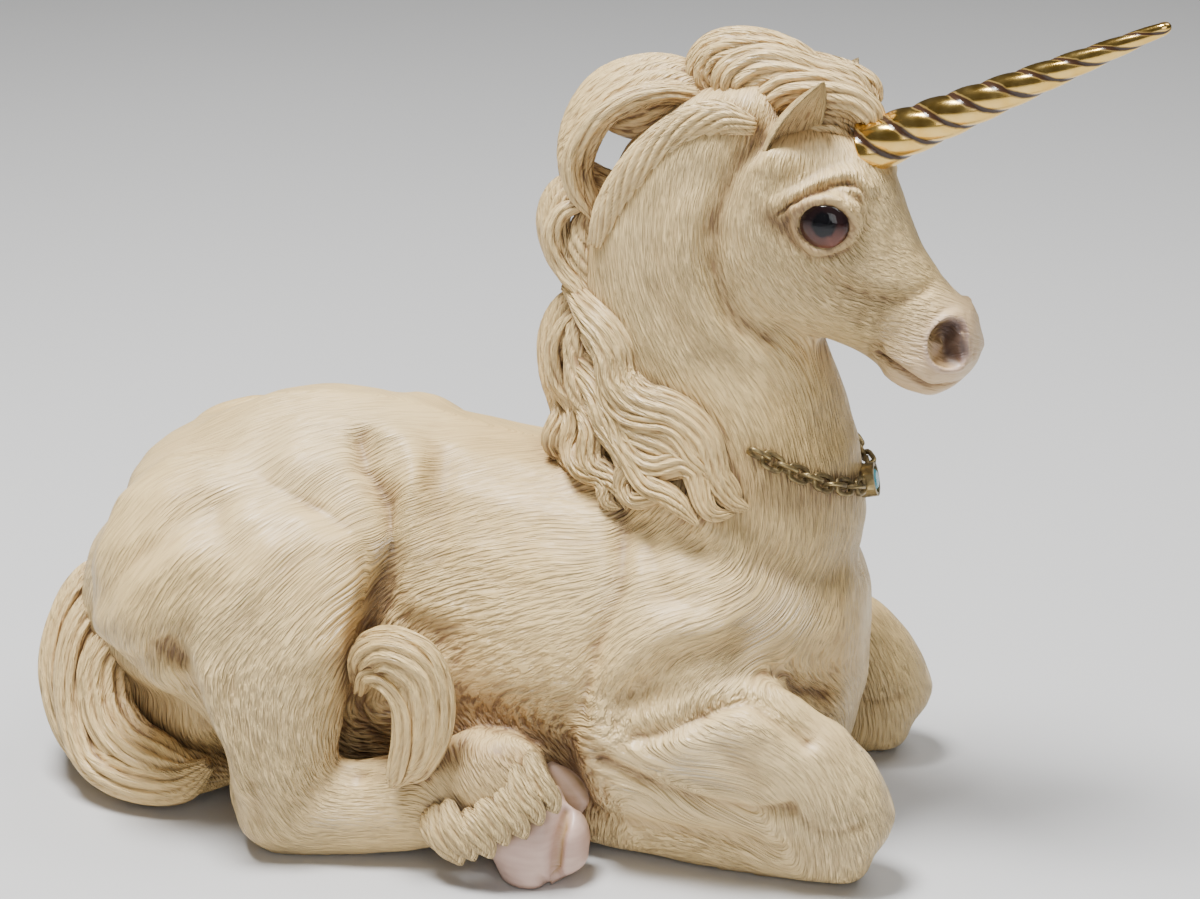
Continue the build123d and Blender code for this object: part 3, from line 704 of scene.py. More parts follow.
    def iris(self) -> bpy.types.Material:
        """Painted eye: black pupil, plum ring and a dark rim."""
        material, wires, shader = self.start("painted_iris")
        ring = wires.value("ring")
        rays = wires.grain(wires.scaled(wires.place(), (900.0, 900.0, 900.0)), 1.0, 2.0)
        soft = wires.maths("ADD", ring, wires.between(rays, 0.2, 0.8, -0.06, 0.06))
        lower = wires.between(wires.value("low"), 0.2, 0.9)
        plum = wires.mix(lower, *self.PLUM)
        inner = wires.mix(wires.between(soft, 0.40, 0.52), self.PUPIL, plum)
        rimmed = wires.mix(wires.between(soft, 0.84, 0.97), inner, self.EYE_RIM)
        wires.feed(shader.inputs["Base Color"], rimmed)
        wires.feed(shader.inputs["Roughness"], wires.between(rays, 0.2, 0.8, 0.30, 0.45))
        shader.inputs["Specular IOR Level"].default_value = 0.05
        return material

    def clear(
        self, name: str, tint: Colour, deep: Colour, roughness: float, clearness: float
    ) -> bpy.types.Material:
        """Clear or coloured glass with a slight change of tint."""
        material, wires, shader = self.start(name)
        cloud = wires.grain(wires.place(), 300.0, 1.0)
        wires.feed(shader.inputs["Base Color"], wires.mix(wires.between(cloud, 0.3, 0.7), tint, deep))
        wires.feed(shader.inputs["Roughness"], wires.between(cloud, 0.0, 1.0, roughness, roughness + 0.02))
        shader.inputs["Transmission Weight"].default_value = clearness
        shader.inputs["IOR"].default_value = 1.45
        return material

    def floor(self) -> bpy.types.Material:
        """Pale paper."""
        material, wires, shader = self.start("studio_paper")
        cloud = wires.grain(wires.place(), 3.0, 2.0)
        wires.feed(shader.inputs["Base Color"], wires.mix(cloud, *self.PAPER))
        shader.inputs["Roughness"].default_value = 0.8
        return material


# Locks of hair


def grown(mesh: bmesh.types.BMesh, ring: Sequence[bmesh.types.BMVert]) -> list[bmesh.types.BMVert]:
    """Extrudes a closed ring of points once.

    Args:
        mesh: mesh the ring is in.
        ring: the ring's points in order.

    Returns:
        The new ring in the same order.
    """
    members = set(ring)
    edges = {edge for point in ring for edge in point.link_edges if edge.other_vert(point) in members}
    made = bmesh.ops.extrude_edge_only(mesh, edges=list(edges))["geom"]
    fresh = {item for item in made if isinstance(item, bmesh.types.BMVert)}
    return [next(e.other_vert(p) for e in p.link_edges if e.other_vert(p) in fresh) for p in ring]


Ring = list[bmesh.types.BMVert]


def drawn_out(
    form: bmesh.types.BMesh,
    around: int,
    rings: int,
    place: Callable[[int, Ring], None],
    ends: Sequence[Vector],
) -> None:
    """Draws a closed tube out ring by ring and brings both ends to a point.

    Args:
        form: mesh that takes the tube.
        around: points in a ring.
        rings: number of rings.
        place: moves the points of the ring of a given number.
        ends: the two end points, in millimetres.
    """
    ring = list(bmesh.ops.create_circle(form, segments=around, radius=MM)["verts"])
    first = ring
    for step in range(rings):
        if step:
            ring = grown(form, ring)
        place(step, ring)
    for end, points in zip(ends, (first, ring)):
        bmesh.ops.pointmerge(form, verts=points, merge_co=end * MM)


@dataclass(frozen=True)
class Lock:
    """One ridged, tapering lock of hair along a smooth spine, in millimetres.

    Attributes:
        spine: places along its middle, root first.
        breadth: half breadths from root to tip.
        depth: half thicknesses from root to tip.
        tilt: turn of its broad face, nought when that runs across the animal.
        strands: number of ridges round it.
        twist: turns the ridges make round it from root to tip.
        laid: height of its middle above the skin it lies on, if it lies on the right flank.
        wave: half width of its waves.
        waves: number of waves.
    """

    spine: tuple[Place, ...]
    breadth: tuple[float, ...]
    depth: tuple[float, ...]
    tilt: float = 90.0
    strands: int = 9
    twist: float = 0.25
    laid: float | None = None
    wave: float = 0.0
    waves: float = 2.0

    RING_STEP = 1.0
    ROUGH_STEPS = 60
    OUTSIDE = 0.2
    LAID_REACH = 14
    RIDGE, RIDGE_LEVEL = 0.20, 0.7
    FINE, FINE_LEVEL = 0.06, 0.6
    THINNEST = 0.15
    ROUND = 72

    def mirrored(self) -> "Lock":
        """The same lock on the left side."""
        spine = tuple((ahead, -across, up) for ahead, across, up in self.spine)
        return replace(self, spine=spine, tilt=-self.tilt)

    def path(self, ground: BVHTree | None) -> np.ndarray:
        """Places along the lock, one for each ring of points.

        Args:
            ground: skin that a laid lock lies on.

        Returns:
            The places, in millimetres.
        """
        rough = eased(self.spine, self.ROUGH_STEPS)
        length = np.linalg.norm(np.diff(rough, axis=0), axis=1).sum()
        path = eased(self.spine, max(16, int(length / self.RING_STEP)))
        shares = np.linspace(0, 1, len(path))
        if self.wave:
            ways = np.gradient(path, axis=0)
            aside = np.stack([-ways[:, 2], np.zeros(len(path)), ways[:, 0]], axis=1)
            aside /= np.maximum(np.linalg.norm(aside, axis=1), 1e-6)[:, None]
            swing = self.wave * np.sin(2 * np.pi * self.waves * shares) * np.minimum(1, 4 * shares)
            path = path + aside * swing[:, None]
        if self.laid is not None and ground is not None:
            for index, (ahead, across, up) in enumerate(path):
                hit = ground.ray_cast(Vector((ahead * MM, -self.OUTSIDE, up * MM)), Vector((0, 1, 0)))[0]
                if hit is not None and hit.y / MM < across + self.LAID_REACH:
                    path[index, 1] = hit.y / MM - self.laid
            for _ in range(6):
                path[1:-1, 1] += 0.5 * ((path[:-2, 1] + path[2:, 1]) / 2 - path[1:-1, 1])
        return path

    def build(self, hair: bmesh.types.BMesh, ground: BVHTree | None = None) -> None:
        """Adds the lock to a mesh of hair.

        Args:
            hair: mesh with the layers dip and lie.
            ground: skin that a laid lock lies on.
        """
        path = self.path(ground)
        rings = len(path)
        length = np.linalg.norm(np.diff(path, axis=0), axis=1).sum()
        breadth = eased([(size,) for size in self.breadth], rings)[:, 0]
        depth = eased([(size,) for size in self.depth], rings)[:, 0]
        ways = np.gradient(path, axis=0)

        def place(step: int, ring: Ring) -> None:
            """Shapes one ring."""
            spot = Vector(path[step]), Vector(ways[step])
            half_sizes = max(breadth[step], self.THINNEST), max(depth[step], self.THINNEST)
            self.shape(hair, ring, spot, half_sizes, step / (rings - 1), length)

        drawn_out(hair, self.ROUND, rings, place, (Vector(path[0]), Vector(path[-1])))

    def shape(
        self,
        hair: bmesh.types.BMesh,
        ring: Ring,
        spot: tuple[Vector, Vector],
        half_sizes: tuple[float, float],
        share: float,
        length: float,
    ) -> None:
        """Moves one ring of points to its place and stores its dips and lie.

        Args:
            hair: mesh of hair.
            ring: points of the ring.
            spot: its middle and the direction of the spine there.
            half_sizes: half of its breadth and of its thickness.
            share: how far along the lock it is.
            length: length of the lock.
        """
        middle, way = spot
        breadth, depth = half_sizes
        way = way.normalized()
        broad = Vector((0, 1, 0)) - way * way.y
        broad.normalize()
        broad = Matrix.Rotation(math.radians(self.tilt), 3, way) @ broad
        thick = way.cross(broad)
        dip = hair.verts.layers.float["dip"]
        lie = hair.verts.layers.float_vector["lie"]
        seed = self.spine[0][0] * 1.7 + self.spine[-1][2]
        phase = 2 * math.pi * self.twist * share * self.strands + 0.9 * math.sin(8 * share + seed)
        for index, point in enumerate(ring):
            angle = 2 * math.pi * index / self.ROUND
            wave = abs(math.cos((angle * self.strands + phase) / 2))
            fine = abs(math.cos((angle * self.strands * 2 + 2.3 * phase + seed) / 2))
            lift = self.RIDGE * (wave - self.RIDGE_LEVEL) + self.FINE * (fine - self.FINE_LEVEL)
            lift *= depth
            across = (breadth + lift) * math.cos(angle)
            out = (depth + lift * 1.6) * math.sin(angle)
            point.co = (middle + broad * across + thick * out) * MM
            # Painted shade in the grooves between the strands.
            point[dip] = max(0.0, 1 - 1.9 * wave) ** 1.2
            point[lie] = Vector((share * length, angle * (breadth + depth) / 2, 0.0))


@dataclass(frozen=True)
class HairPiece:
    """Several locks that are cast together.

    Attributes:
        node: CAD node they stand for.
        locks: the locks.
    """

    node: str
    locks: tuple[Lock, ...]

    def build(self, paint: bpy.types.Material, ground: BVHTree) -> bpy.types.Object:
        """Makes the piece.

        Args:
            paint: its material.
            ground: skin that laid locks lie on.

        Returns:
            The piece.
        """
        hair = bmesh.new()
        hair.verts.layers.float.new("dip")
        hair.verts.layers.float_vector.new("lie")
        for lock in self.locks:
            lock.build(hair, ground)
        bmesh.ops.recalc_face_normals(hair, faces=hair.faces)
        return show(f"{self.node}_locks", finished(hair, self.node), paint, "cast_hair", self.node)


FORELOCK = HairPiece("forelock", (
    Lock(
        ((68, 0, 200), (58, 0, 205), (51.5, 0, 211), (54, 0, 217), (63, -1, 219), (75, -2, 217),
         (87, -3, 211)),
        (4, 6, 6, 6, 6, 5, 2), (3, 5, 5, 4.5, 4, 4, 1), 60, 11,
    ),
    Lock(
        ((68, -4, 200), (61, -5, 206), (60, -6, 212), (68, -6, 216), (80, -6, 214), (91, -6, 212),
         (97, -7, 208)),
        (4, 5, 6, 6, 5, 4, 1), (3, 4, 4.5, 4, 4, 3, 1), 75, 10,
    ),
    Lock(
        ((69, -6, 200), (68, -8, 206), (74, -9, 211), (83, -9, 211), (92, -9, 209), (97, -9, 204),
         (95, -9, 199)),
        (4, 5, 5, 5, 4, 3.5, 1), (3, 4, 4, 4, 3, 3, 1), 80, 9,
    ),
    Lock(
        ((70, -3, 200), (75, -5, 206), (83, -6, 207), (90, -6, 205), (94, -6, 200)),
        (4, 5, 5, 4, 1), (4, 4.5, 4.5, 3.5, 1), 85, 9,
    ),
    Lock(((70, -5, 198), (78, -6, 200), (86, -7, 199), (92, -8, 195)), (3, 5, 5, 2), (3, 5, 5, 2), 85, 9),
    Lock(
        ((68, 3, 201), (66, 4, 209), (75, 4, 213), (85, 3, 212), (94, 1, 210), (98, -1, 206)),
        (4, 5, 5, 5, 4, 1), (3, 4, 4, 4, 3, 1), 85, 9,
    ),
))

MANE_LOOP = HairPiece("mane_loop", (
    Lock(
        ((54, -2, 207), (42, -2, 210), (32, -1, 208), (23, 0, 203), (17.5, 0, 194), (16, 0, 184),
         (20, -2, 174), (25, -4, 168)),
        (6, 8, 9.5, 10, 9.5, 8, 7, 3), (2, 3, 3.4, 3.4, 3.4, 3.4, 3.4, 1.5), -38, 14,
    ),
    Lock(
        ((52, -5, 206), (42, -7, 208), (31, -8, 205), (22, -8, 198), (17, -8, 189), (17.5, -8, 180),
         (23, -8, 172)),
        (2, 2.6, 3, 3, 3, 2.6, 1), (2, 2.4, 2.6, 2.6, 2.6, 2.4, 1), 20, 5, 0.5,
    ),
    Lock(
        ((52, -3, 204), (43, -3, 202.5), (35, -2, 199.5), (27, 1, 199), (18, 6, 202)),
        (3, 5, 6, 5, 2), (2, 3, 3, 3, 2), 90, 10, 0.15,
    ),
    Lock(
        ((17, 0, 186), (21, -1, 181), (25, -3, 178), (28, -5, 173), (28, -6, 167)),
        (2, 5, 6, 5, 2), (2, 3, 3, 3, 2), 90, 10, 0.15,
    ),
    Lock(
        ((24, -10, 166), (28, -10, 176), (33, -10, 185), (40, -10, 194), (49, -10, 201), (59, -10, 204),
         (68, -10, 202)),
        (2, 4.2, 4.8, 4.8, 4.8, 4.6, 2), (2, 3, 3, 3, 3, 3, 2), 90, 13, 0.8, 0.5,
    ),
))

UPPER_CURL = HairPiece("mane_upper_curl", (
    Lock(
        ((20, -1, 180), (12.5, 0, 176), (9.5, 0, 168), (12, -1, 159), (18, -4, 153), (24, -8, 148),
         (27, -12, 142)),
        (3, 7, 8.5, 8.5, 7.5, 6, 2), (2, 3, 3.2, 3.2, 3.2, 3, 1), -35, 12,
    ),
    Lock(
        ((20, -6, 176), (13.5, -7, 173), (11, -7.5, 166), (14, -8, 158), (20, -10, 152), (26, -13, 145)),
        (1.5, 2.4, 2.6, 2.6, 2.6, 1), (1.5, 2.4, 2.6, 2.6, 2.4, 1), 20, 5, 0.4,
    ),
    Lock(
        ((24, -3, 176), (20, -4, 168), (21, -6, 160), (25, -9, 152)),
        (3, 5, 5, 2), (3, 4, 4, 2), 60, 9, 0.6,
    ),
))

LOWER_CURL = HairPiece("mane_lower_curl", (
    Lock(
        ((23, -3, 150), (14, -1, 144), (9.5, 0, 135), (10, -1, 125), (13.5, -4, 116), (15, -9, 108),
         (20, -13, 103)),
        (3, 7, 8.5, 8.5, 7.5, 6, 2), (2, 3, 3.2, 3.4, 3.4, 3, 1), -30, 12,
    ),
    Lock(
        ((24, -7, 147), (16, -7.5, 143), (12, -8, 135), (13, -9, 126), (18, -11, 119), (20, -15, 112)),
        (1.5, 2.6, 3, 3, 2.6, 1), (1.5, 2.4, 2.8, 2.8, 2.4, 1), 20, 5, 0.5,
    ),
    Lock(
        ((23, -5, 150), (20, -8, 141), (20, -11, 132), (22, -14, 124), (25, -18, 116)),
        (3, 5, 5, 5, 2), (3, 4, 4, 4, 2), 60, 9, 0.6,
    ),
))

FALL_FRONT = HairPiece("mane_fall_front", (
    Lock(
        ((14, -6, 154), (24, -12, 147), (31, -17, 140), (35, -22, 133), (41, -28, 128), (49, -32, 124),
         (57, -36, 119), (62, -38, 112), (66, -40, 104), (69, -42, 100)),
        (2, 5, 5.8, 5.8, 5.8, 5.6, 5.2, 4.4, 2.8, 0.4),
        (2, 3.4, 3.6, 3.6, 3.4, 3.2, 3, 2.6, 2, 0.4), 80, 12, 0.2, 2.0, 1.9, 2.2,
    ),
    Lock(
        ((13, -5, 134), (22, -12, 131), (30, -18, 127), (35, -24, 121), (42, -30, 117), (51, -34, 116),
         (59, -38, 113), (63, -41, 107), (66, -42, 101)),
        (2, 5, 5.8, 5.8, 5.6, 5.4, 4.8, 3.2, 0.4),
        (2, 3.4, 3.6, 3.4, 3.4, 3.2, 3, 2.4, 0.4), 80, 12, -0.2, 1.2, 1.9, 2.4,
    ),
    Lock(
        ((22, -13, 143), (28, -18, 136), (33, -24, 127), (42, -30, 122), (51, -35, 120), (58, -39, 114),
         (61, -41, 106)),
        (2, 3, 3.4, 3.4, 3.2, 3, 0.4), (2, 3, 3, 3, 2.8, 2.4, 0.4), 80, 9, 0.3, 2.6, 1.8, 2.2,
    ),
))

FALL_MIDDLE = HairPiece("mane_fall_middle", (
    Lock(
        ((24, -12, 132), (30, -20, 124), (36, -27, 117), (44, -32, 113), (52, -36, 112), (56, -39, 108),
         (61, -42, 103), (67, -43, 101)),
        (2, 4, 4.4, 4.4, 4.2, 3.6, 2.6, 0.4),
        (2, 3.2, 3.4, 3.2, 3, 2.8, 2, 0.4), 80, 12, 0.2, 2.0, 1.8, 2.0,
    ),
    Lock(
        ((22, -13, 126), (28, -21, 119), (35, -28, 114), (38, -33, 109.5), (37, -36, 105),
         (40, -38, 102), (46, -39.5, 104), (49, -40, 109)),
        (2, 4, 4.4, 4, 3.4, 3, 2.6, 0.4), (2, 3.2, 3.4, 3.2, 3, 2.8, 2, 0.4), 80, 12, -0.2, 1.2, 1.2, 1.5,
    ),
    Lock(
        ((27, -18, 124), (33, -26, 116), (41, -33, 110), (47, -37, 106), (52, -40, 101), (58, -42, 99)),
        (2, 3.4, 3.6, 3.4, 2.6, 0.4), (2, 3, 3, 2.8, 2.2, 0.4), 80, 10, 0.2, 2.6, 1.5, 1.6,
    ),
))

FALL_REAR = HairPiece("mane_fall_rear", (
    Lock(
        ((15, -8, 126), (18, -14, 118), (19.5, -20, 111), (23, -26, 107), (28, -31, 104), (31, -34, 100),
         (35, -36, 100)),
        (2, 4, 4.4, 4.2, 3.6, 3, 0.4), (2, 3.2, 3.4, 3.2, 3, 2.4, 0.4), 80, 12, 0.2, 2.0, 1.4, 1.8,
    ),
    Lock(
        ((12, -3, 124), (14, -8, 116), (15, -14, 109), (18.5, -20, 105), (24, -25, 105)),
        (2, 4, 4.4, 3.8, 0.4), (2, 3.4, 3.4, 3, 0.4), 70, 12, -0.2, 1.2, 1.4, 1.6,
    ),
    Lock(
        ((20, -14, 124), (24, -21, 116), (27, -28, 109), (32, -34, 104), (38, -37, 99)),
        (2, 3.6, 3.8, 3.2, 0.4), (2, 3, 3.2, 2.8, 0.4), 80, 10, 0.2, 2.6, 1.5, 1.6,
    ),
))

TAIL = HairPiece("tail", (
    Lock(
        ((-116, -2, 60), (-126, -6, 54), (-131, -11, 43), (-131, -17, 29), (-123, -24, 15),
         (-108, -30, 9.5), (-90, -31, 9), (-76, -32, 9)),
        (4, 7, 9, 10, 10, 10, 8, 2), (4, 5.5, 6, 6.5, 7, 8, 7, 2), 20, 14, 0.12,
    ),
    Lock(
        ((-114, -6, 56), (-122, -13, 50), (-126, -20, 40), (-125, -27, 25), (-118, -34, 13),
         (-105, -39, 9), (-90, -41, 10), (-80, -42, 17)),
        (3, 6, 7, 7, 7, 7, 6, 1.5), (3, 5, 5.5, 5.5, 6, 7, 6, 1.5), 20, 11, -0.15,
    ),
    Lock(
        ((-118, 0, 60), (-129, -3, 53), (-135, -6, 42), (-136, -11, 28), (-129, -19, 13),
         (-115, -24, 8.5), (-98, -26, 8)),
        (3, 4.5, 5, 5, 6, 6, 1.5), (3, 4.5, 5, 5, 5.5, 6, 1.5), 20, 10, 0.2,
    ),
    Lock(
        ((-108, -16, 48), (-117, -22, 38), (-116, -28, 26), (-108, -34, 18), (-96, -38, 14),
         (-84, -40, 12)),
        (4, 8, 8, 8, 7, 2), (3, 6, 6, 6, 6, 2), 20, 11, 0.15,
    ),
))

TAIL_SWITCH = HairPiece("tail_switch", (
    Lock(
        ((-34, -48, 49), (-30, -55, 59), (-22, -60, 63), (-14, -61, 58), (-12, -62, 47),
         (-14.5, -62.5, 35), (-21, -62, 24.5)),
        (3, 5, 6.4, 7, 7, 5, 0.5), (3, 4, 4.6, 4.6, 4.6, 4, 0.5), 90, 10, 0.2,
    ),
    Lock(
        ((-34, -50, 47), (-29, -57, 55), (-23, -61, 56), (-18, -63, 50), (-17.5, -64, 40),
         (-20, -64, 30), (-22, -63, 25)),
        (2, 3, 3.4, 3.4, 3.4, 2.6, 0.4), (2, 3, 3, 3, 3, 2.4, 0.4), 90, 6, 0.3,
    ),
    Lock(
        ((-34, -48, 52), (-30, -54, 63), (-22, -58, 67), (-12, -60, 64), (-7.5, -61, 54), (-8, -62, 42),
         (-13, -62, 31), (-19, -62, 26)),
        (2, 3, 3.4, 3.4, 3.4, 3.2, 2.6, 0.4), (2, 3, 3.2, 3.2, 3.2, 3, 2.4, 0.4), 90, 6, -0.3,
    ),
))
HAIR = (FORELOCK, MANE_LOOP, UPPER_CURL, LOWER_CURL, FALL_FRONT, FALL_MIDDLE, FALL_REAR, TAIL, TAIL_SWITCH)


# Sub-assemblies


def sided(*stems: str) -> list[str]:
    """Names of the right and left nodes of each stem."""
    return [f"{side.word}_{stem}" for stem in stems for side in Side]


FACE_SLOPE = 43.0


def head_view() -> FlatView:
    """Flat view of the face, with its zero at the eyes, along the face and up from it."""
    middles = []
    for side in Side:
        low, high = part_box(f"{side.word}_eye_glass")
        middles.append((Vector(low) + Vector(high)) / 2 / MM)
    across = (middles[1] - middles[0]).normalized()
    slope = math.radians(FACE_SLOPE)
    ahead = Vector((math.cos(slope), 0, -math.sin(slope)))
    ahead = (ahead - across * ahead.dot(across)).normalized()
    return FlatView((middles[0] + middles[1]) / 2, ahead, ahead.cross(across))


def oval(middle: Spot, long: float, short: float, slope: float) -> list[Spot]:
    """Places round an oval in a flat view.

    Args:
        middle: its middle.
        long: half of its length.
        short: half of its height.
        slope: turn of its long axis in degrees.

    Returns:
        The places, the first one repeated at the end.
    """
    turn = math.radians(slope)
    spots = []
    for step in range(17):
        angle = 2 * math.pi * step / 16
        ahead, up = long * math.cos(angle), short * math.sin(angle)
        spots.append((
            middle[0] + ahead * math.cos(turn) - up * math.sin(turn),
            middle[1] + ahead * math.sin(turn) + up * math.cos(turn),
        ))
    return spots


class Face:
    """Lids, brows, nostrils, lips and wrinkles, drawn in the flat view of the face."""

    MOUTH = ((34, -18), (38, -16), (44, -14.5), (50, -13), (54, -8.5))
    NOSTRIL = (45.0, -0.5)
    NOSTRIL_SLIT = ((42.8, 0.8), (46.8, -1.8))
    JOWL = ((-29, 2), (-27, -10), (-22, -20), (-15, -28), (-6, -34), (3, -37), (11, -36))
    LIDS = ((0.0, 0.0), 7.2, 6.3, 45)
    OPENING = (6.2, 5.3, 45)
    SOCKET_DEPTH = 1.5
    HEAD_BACK, HEAD_FRONT, HEAD_TOP, HEAD_HALF = -17, 70, 30, 30
    JAW_LOW, JAW_RISE = -34, 0.35
    EYE_HEIGHT = 5.8
    LID_START, LID_BLEND, LID_END = 0.92, 0.16, 1.1
    LIE = (
        (-25, 5, 0.6, -0.8), (-20, -10, 0.7, -0.7), (-8, -20, 0.95, -0.2), (5, -28, 1.0, 0.1),
        (0, -12, 0.9, -0.3), (15, -10, 0.8, 0.4), (25, -12, 0.6, 0.8), (20, 8, 0.9, 0.3),
        (0, 16, 1.0, 0.1), (40, -16, 0.8, 0.5),
    )

    FORMS = (
        (oval(*LIDS), 1.7, 2.1),
        (((-9, -7), (-7.5, -1), (-4.6, 6.5), (-1, 9.4), (3.4, 8.6)), 1.2, 1.3),
        (((-12, -6.5), (-10.4, -0.5), (-8.4, 6.5), (-5, 11.5), (0.5, 11.5)), 2.0, 1.9),
        (((-10.6, -6.6), (-9, -0.8), (-6.6, 6.4), (-3, 10.6), (2, 10.2)), 0.8, -1.1),
        (((5, -7.5), (7.5, -4), (8.2, 0), (7.6, 4)), 1.0, -0.7),
        (((6, -8), (14, -4), (22, -2)), 3.4, 1.4),
        (((4, -9), (12, -9), (19, -8), (24, -5), (28, -2), (30, 4)), 1.5, -0.8),
        (((14, -6), (17, -10), (18, -14)), 1.3, -0.45),
        (((19, -5), (22, -9), (24, -14)), 1.3, -0.5),
        (((24, -4), (27, -8), (28, -12)), 1.3, -0.4),
        (((29, -2), (32, -6), (33, -10)), 1.3, -0.3),
        ((NOSTRIL,), 7.0, 1.8),
        (oval(NOSTRIL, 6.4, 5.2, -35), 1.5, 1.5),
        (NOSTRIL_SLIT, 3.5, -6.4),
        (((36, -13.5), (42, -11.5), (48, -10)), 2.4, 1.4),
        (((40, -19), (46, -18), (50, -16)), 3.0, 1.4),
        (MOUTH, 0.85, -1.9),
        (((33, -15), (31, -18), (33, -21)), 1.0, -0.8),
        (((-20, 0), (-18, -10), (-13, -18), (-5, -25), (5, -28)), 7.0, 3.0),
        (JOWL, 3.4, -3.4),
    )

    def __init__(self) -> None:
        """Takes the view from the eyes."""
        self.view = head_view()

    def guides(self) -> list[tuple[float, float, float, float]]:
        """The face's hair guides in the side view."""
        found = []
        for ahead, up, along, rise in self.LIE:
            spot = self.view.origin + self.view.ahead * ahead + self.view.up * up
            way = self.view.ahead * along + self.view.up * rise
            found.append((spot.x, spot.z, way.x, way.z))
        return found

    def within(self, points: np.ndarray) -> np.ndarray:
        """Which points belong to the head."""
        ahead, up = self.view.flat(points).T
        aside = np.abs(self.view.depth(points))
        jaw = self.JAW_LOW - self.JAW_RISE * np.minimum(ahead, 0)
        lengthwise = (ahead > self.HEAD_BACK) & (ahead < self.HEAD_FRONT)
        return lengthwise & (up > jaw) & (up < self.HEAD_TOP) & (aside < self.HEAD_HALF)

    def sculpt(self, skin: Skin) -> None:
        """Raises the brows, lids, nostrils and lips and cuts the lines between them."""
        for line, width, height in self.FORMS:
            skin.press(self.view, line, width, height)

    def open_eyes(self, skin: Skin) -> None:
        """Sinks the skin behind the painted discs, inside the lids."""
        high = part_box("left_eye_glass")[1]
        dome = (Vector(high) / MM - self.view.origin).dot(self.view.across)
        long, short, slope = self.OPENING
        turn = math.radians(slope)
        ahead, up = self.view.flat(skin.points).T
        along = (ahead * math.cos(turn) + up * math.sin(turn)) / long
        over = (up * math.cos(turn) - ahead * math.sin(turn)) / short
        reach = np.sqrt(along**2 + over**2)
        depth = self.view.depth(skin.points)
        edge = np.clip((reach - self.LID_START) / self.LID_BLEND, 0, 1)
        floor = dome - self.EYE_HEIGHT - self.SOCKET_DEPTH
        sunk = floor + (np.abs(depth) - floor) * edge * edge * (3 - 2 * edge)
        inside = (reach < self.LID_END) & (np.abs(depth) > floor)
        shift = np.where(inside, np.sign(depth) * (sunk - np.abs(depth)), 0)
        skin.points += shift[:, None] * np.array(self.view.across)
        skin.settle()

    def tint(self, skin: Skin) -> dict[str, np.ndarray]:
        """Where the muzzle is flesh coloured and smooth, the wash and painted shade thick, the nostril dark
        with painted shade and the lids' inner edge darkened.

        Args:
            skin: the sculpted casting.

        Returns:
            Shares for each point, by the name they are stored under.
        """
        view = self.view
        head = self.within(skin.points)
        ahead = view.flat(skin.points)[:, 0]
        rim = skin.near(view, oval(self.NOSTRIL, 5.4, 4.2, -35), 2.2)
        deep = skin.near(view, self.NOSTRIL_SLIT, 3.8)
        # Painted shade with brown wash round the eye, in its corner, along the lips and on the cheek.
        eye = skin.near(view, oval((-0.8, -0.8), 7.2, 6.2, 45), 2.6)
        corner = skin.near(view, [(-5, -7), (-9, -9), (-11, -9)], 3.2)
        lips = skin.near(view, self.MOUTH, 1.0) * 0.9
        cheek = skin.near(view, [(14, -8), (24, -8)], 7.0) * 0.3
        lids = skin.near(view, oval(*self.LIDS), 2.0)
        edge = skin.near(view, oval((0, 0), *self.OPENING), 0.8)
        return {
            "pink": np.clip(head * 0.4 * np.clip((ahead - 28) / 16, 0, 1) + 0.6 * rim, 0, 1),
            # Near-black painted shade in the nostril slit; the lids' inner edge darkened.
            "dark": np.clip(deep * 2.2 - 0.5, 0, 0.92) + edge * 0.55,
            "tan_and_shade": eye + corner + lips + cheek,
            "bald": np.clip(head * np.clip((ahead - 36) / 10, 0, 0.85) + lids, 0, 1),
        }


FEATHER_TIPS = (
    (25, -65, 23), (21, -67, 20), (17, -68, 16), (12, -69, 14),
    (8, -69.5, 10), (3, -69, 8.5), (-1, -67.5, 6), (-4, -65.5, 7),
)


def feather(tip: Place) -> Lock:
    """A short flat tuft of the hair over a hind hoof, by its tip."""
    ahead, across, up = tip
    rise = 16 if ahead % 2 else 12
    root = (ahead - 9, across + 5, up + rise)
    spine = (root, (ahead - 6, across + 0.5, up + 9), (ahead - 2, across - 0.4, up + 4), tip)
    return Lock(spine, (1.5, 4.2, 3.6, 0.5), (0.8, 1.4, 1.2, 0.4), 90, 9, 0.1)


FEATHERS = tuple(feather(tip) for tip in FEATHER_TIPS)


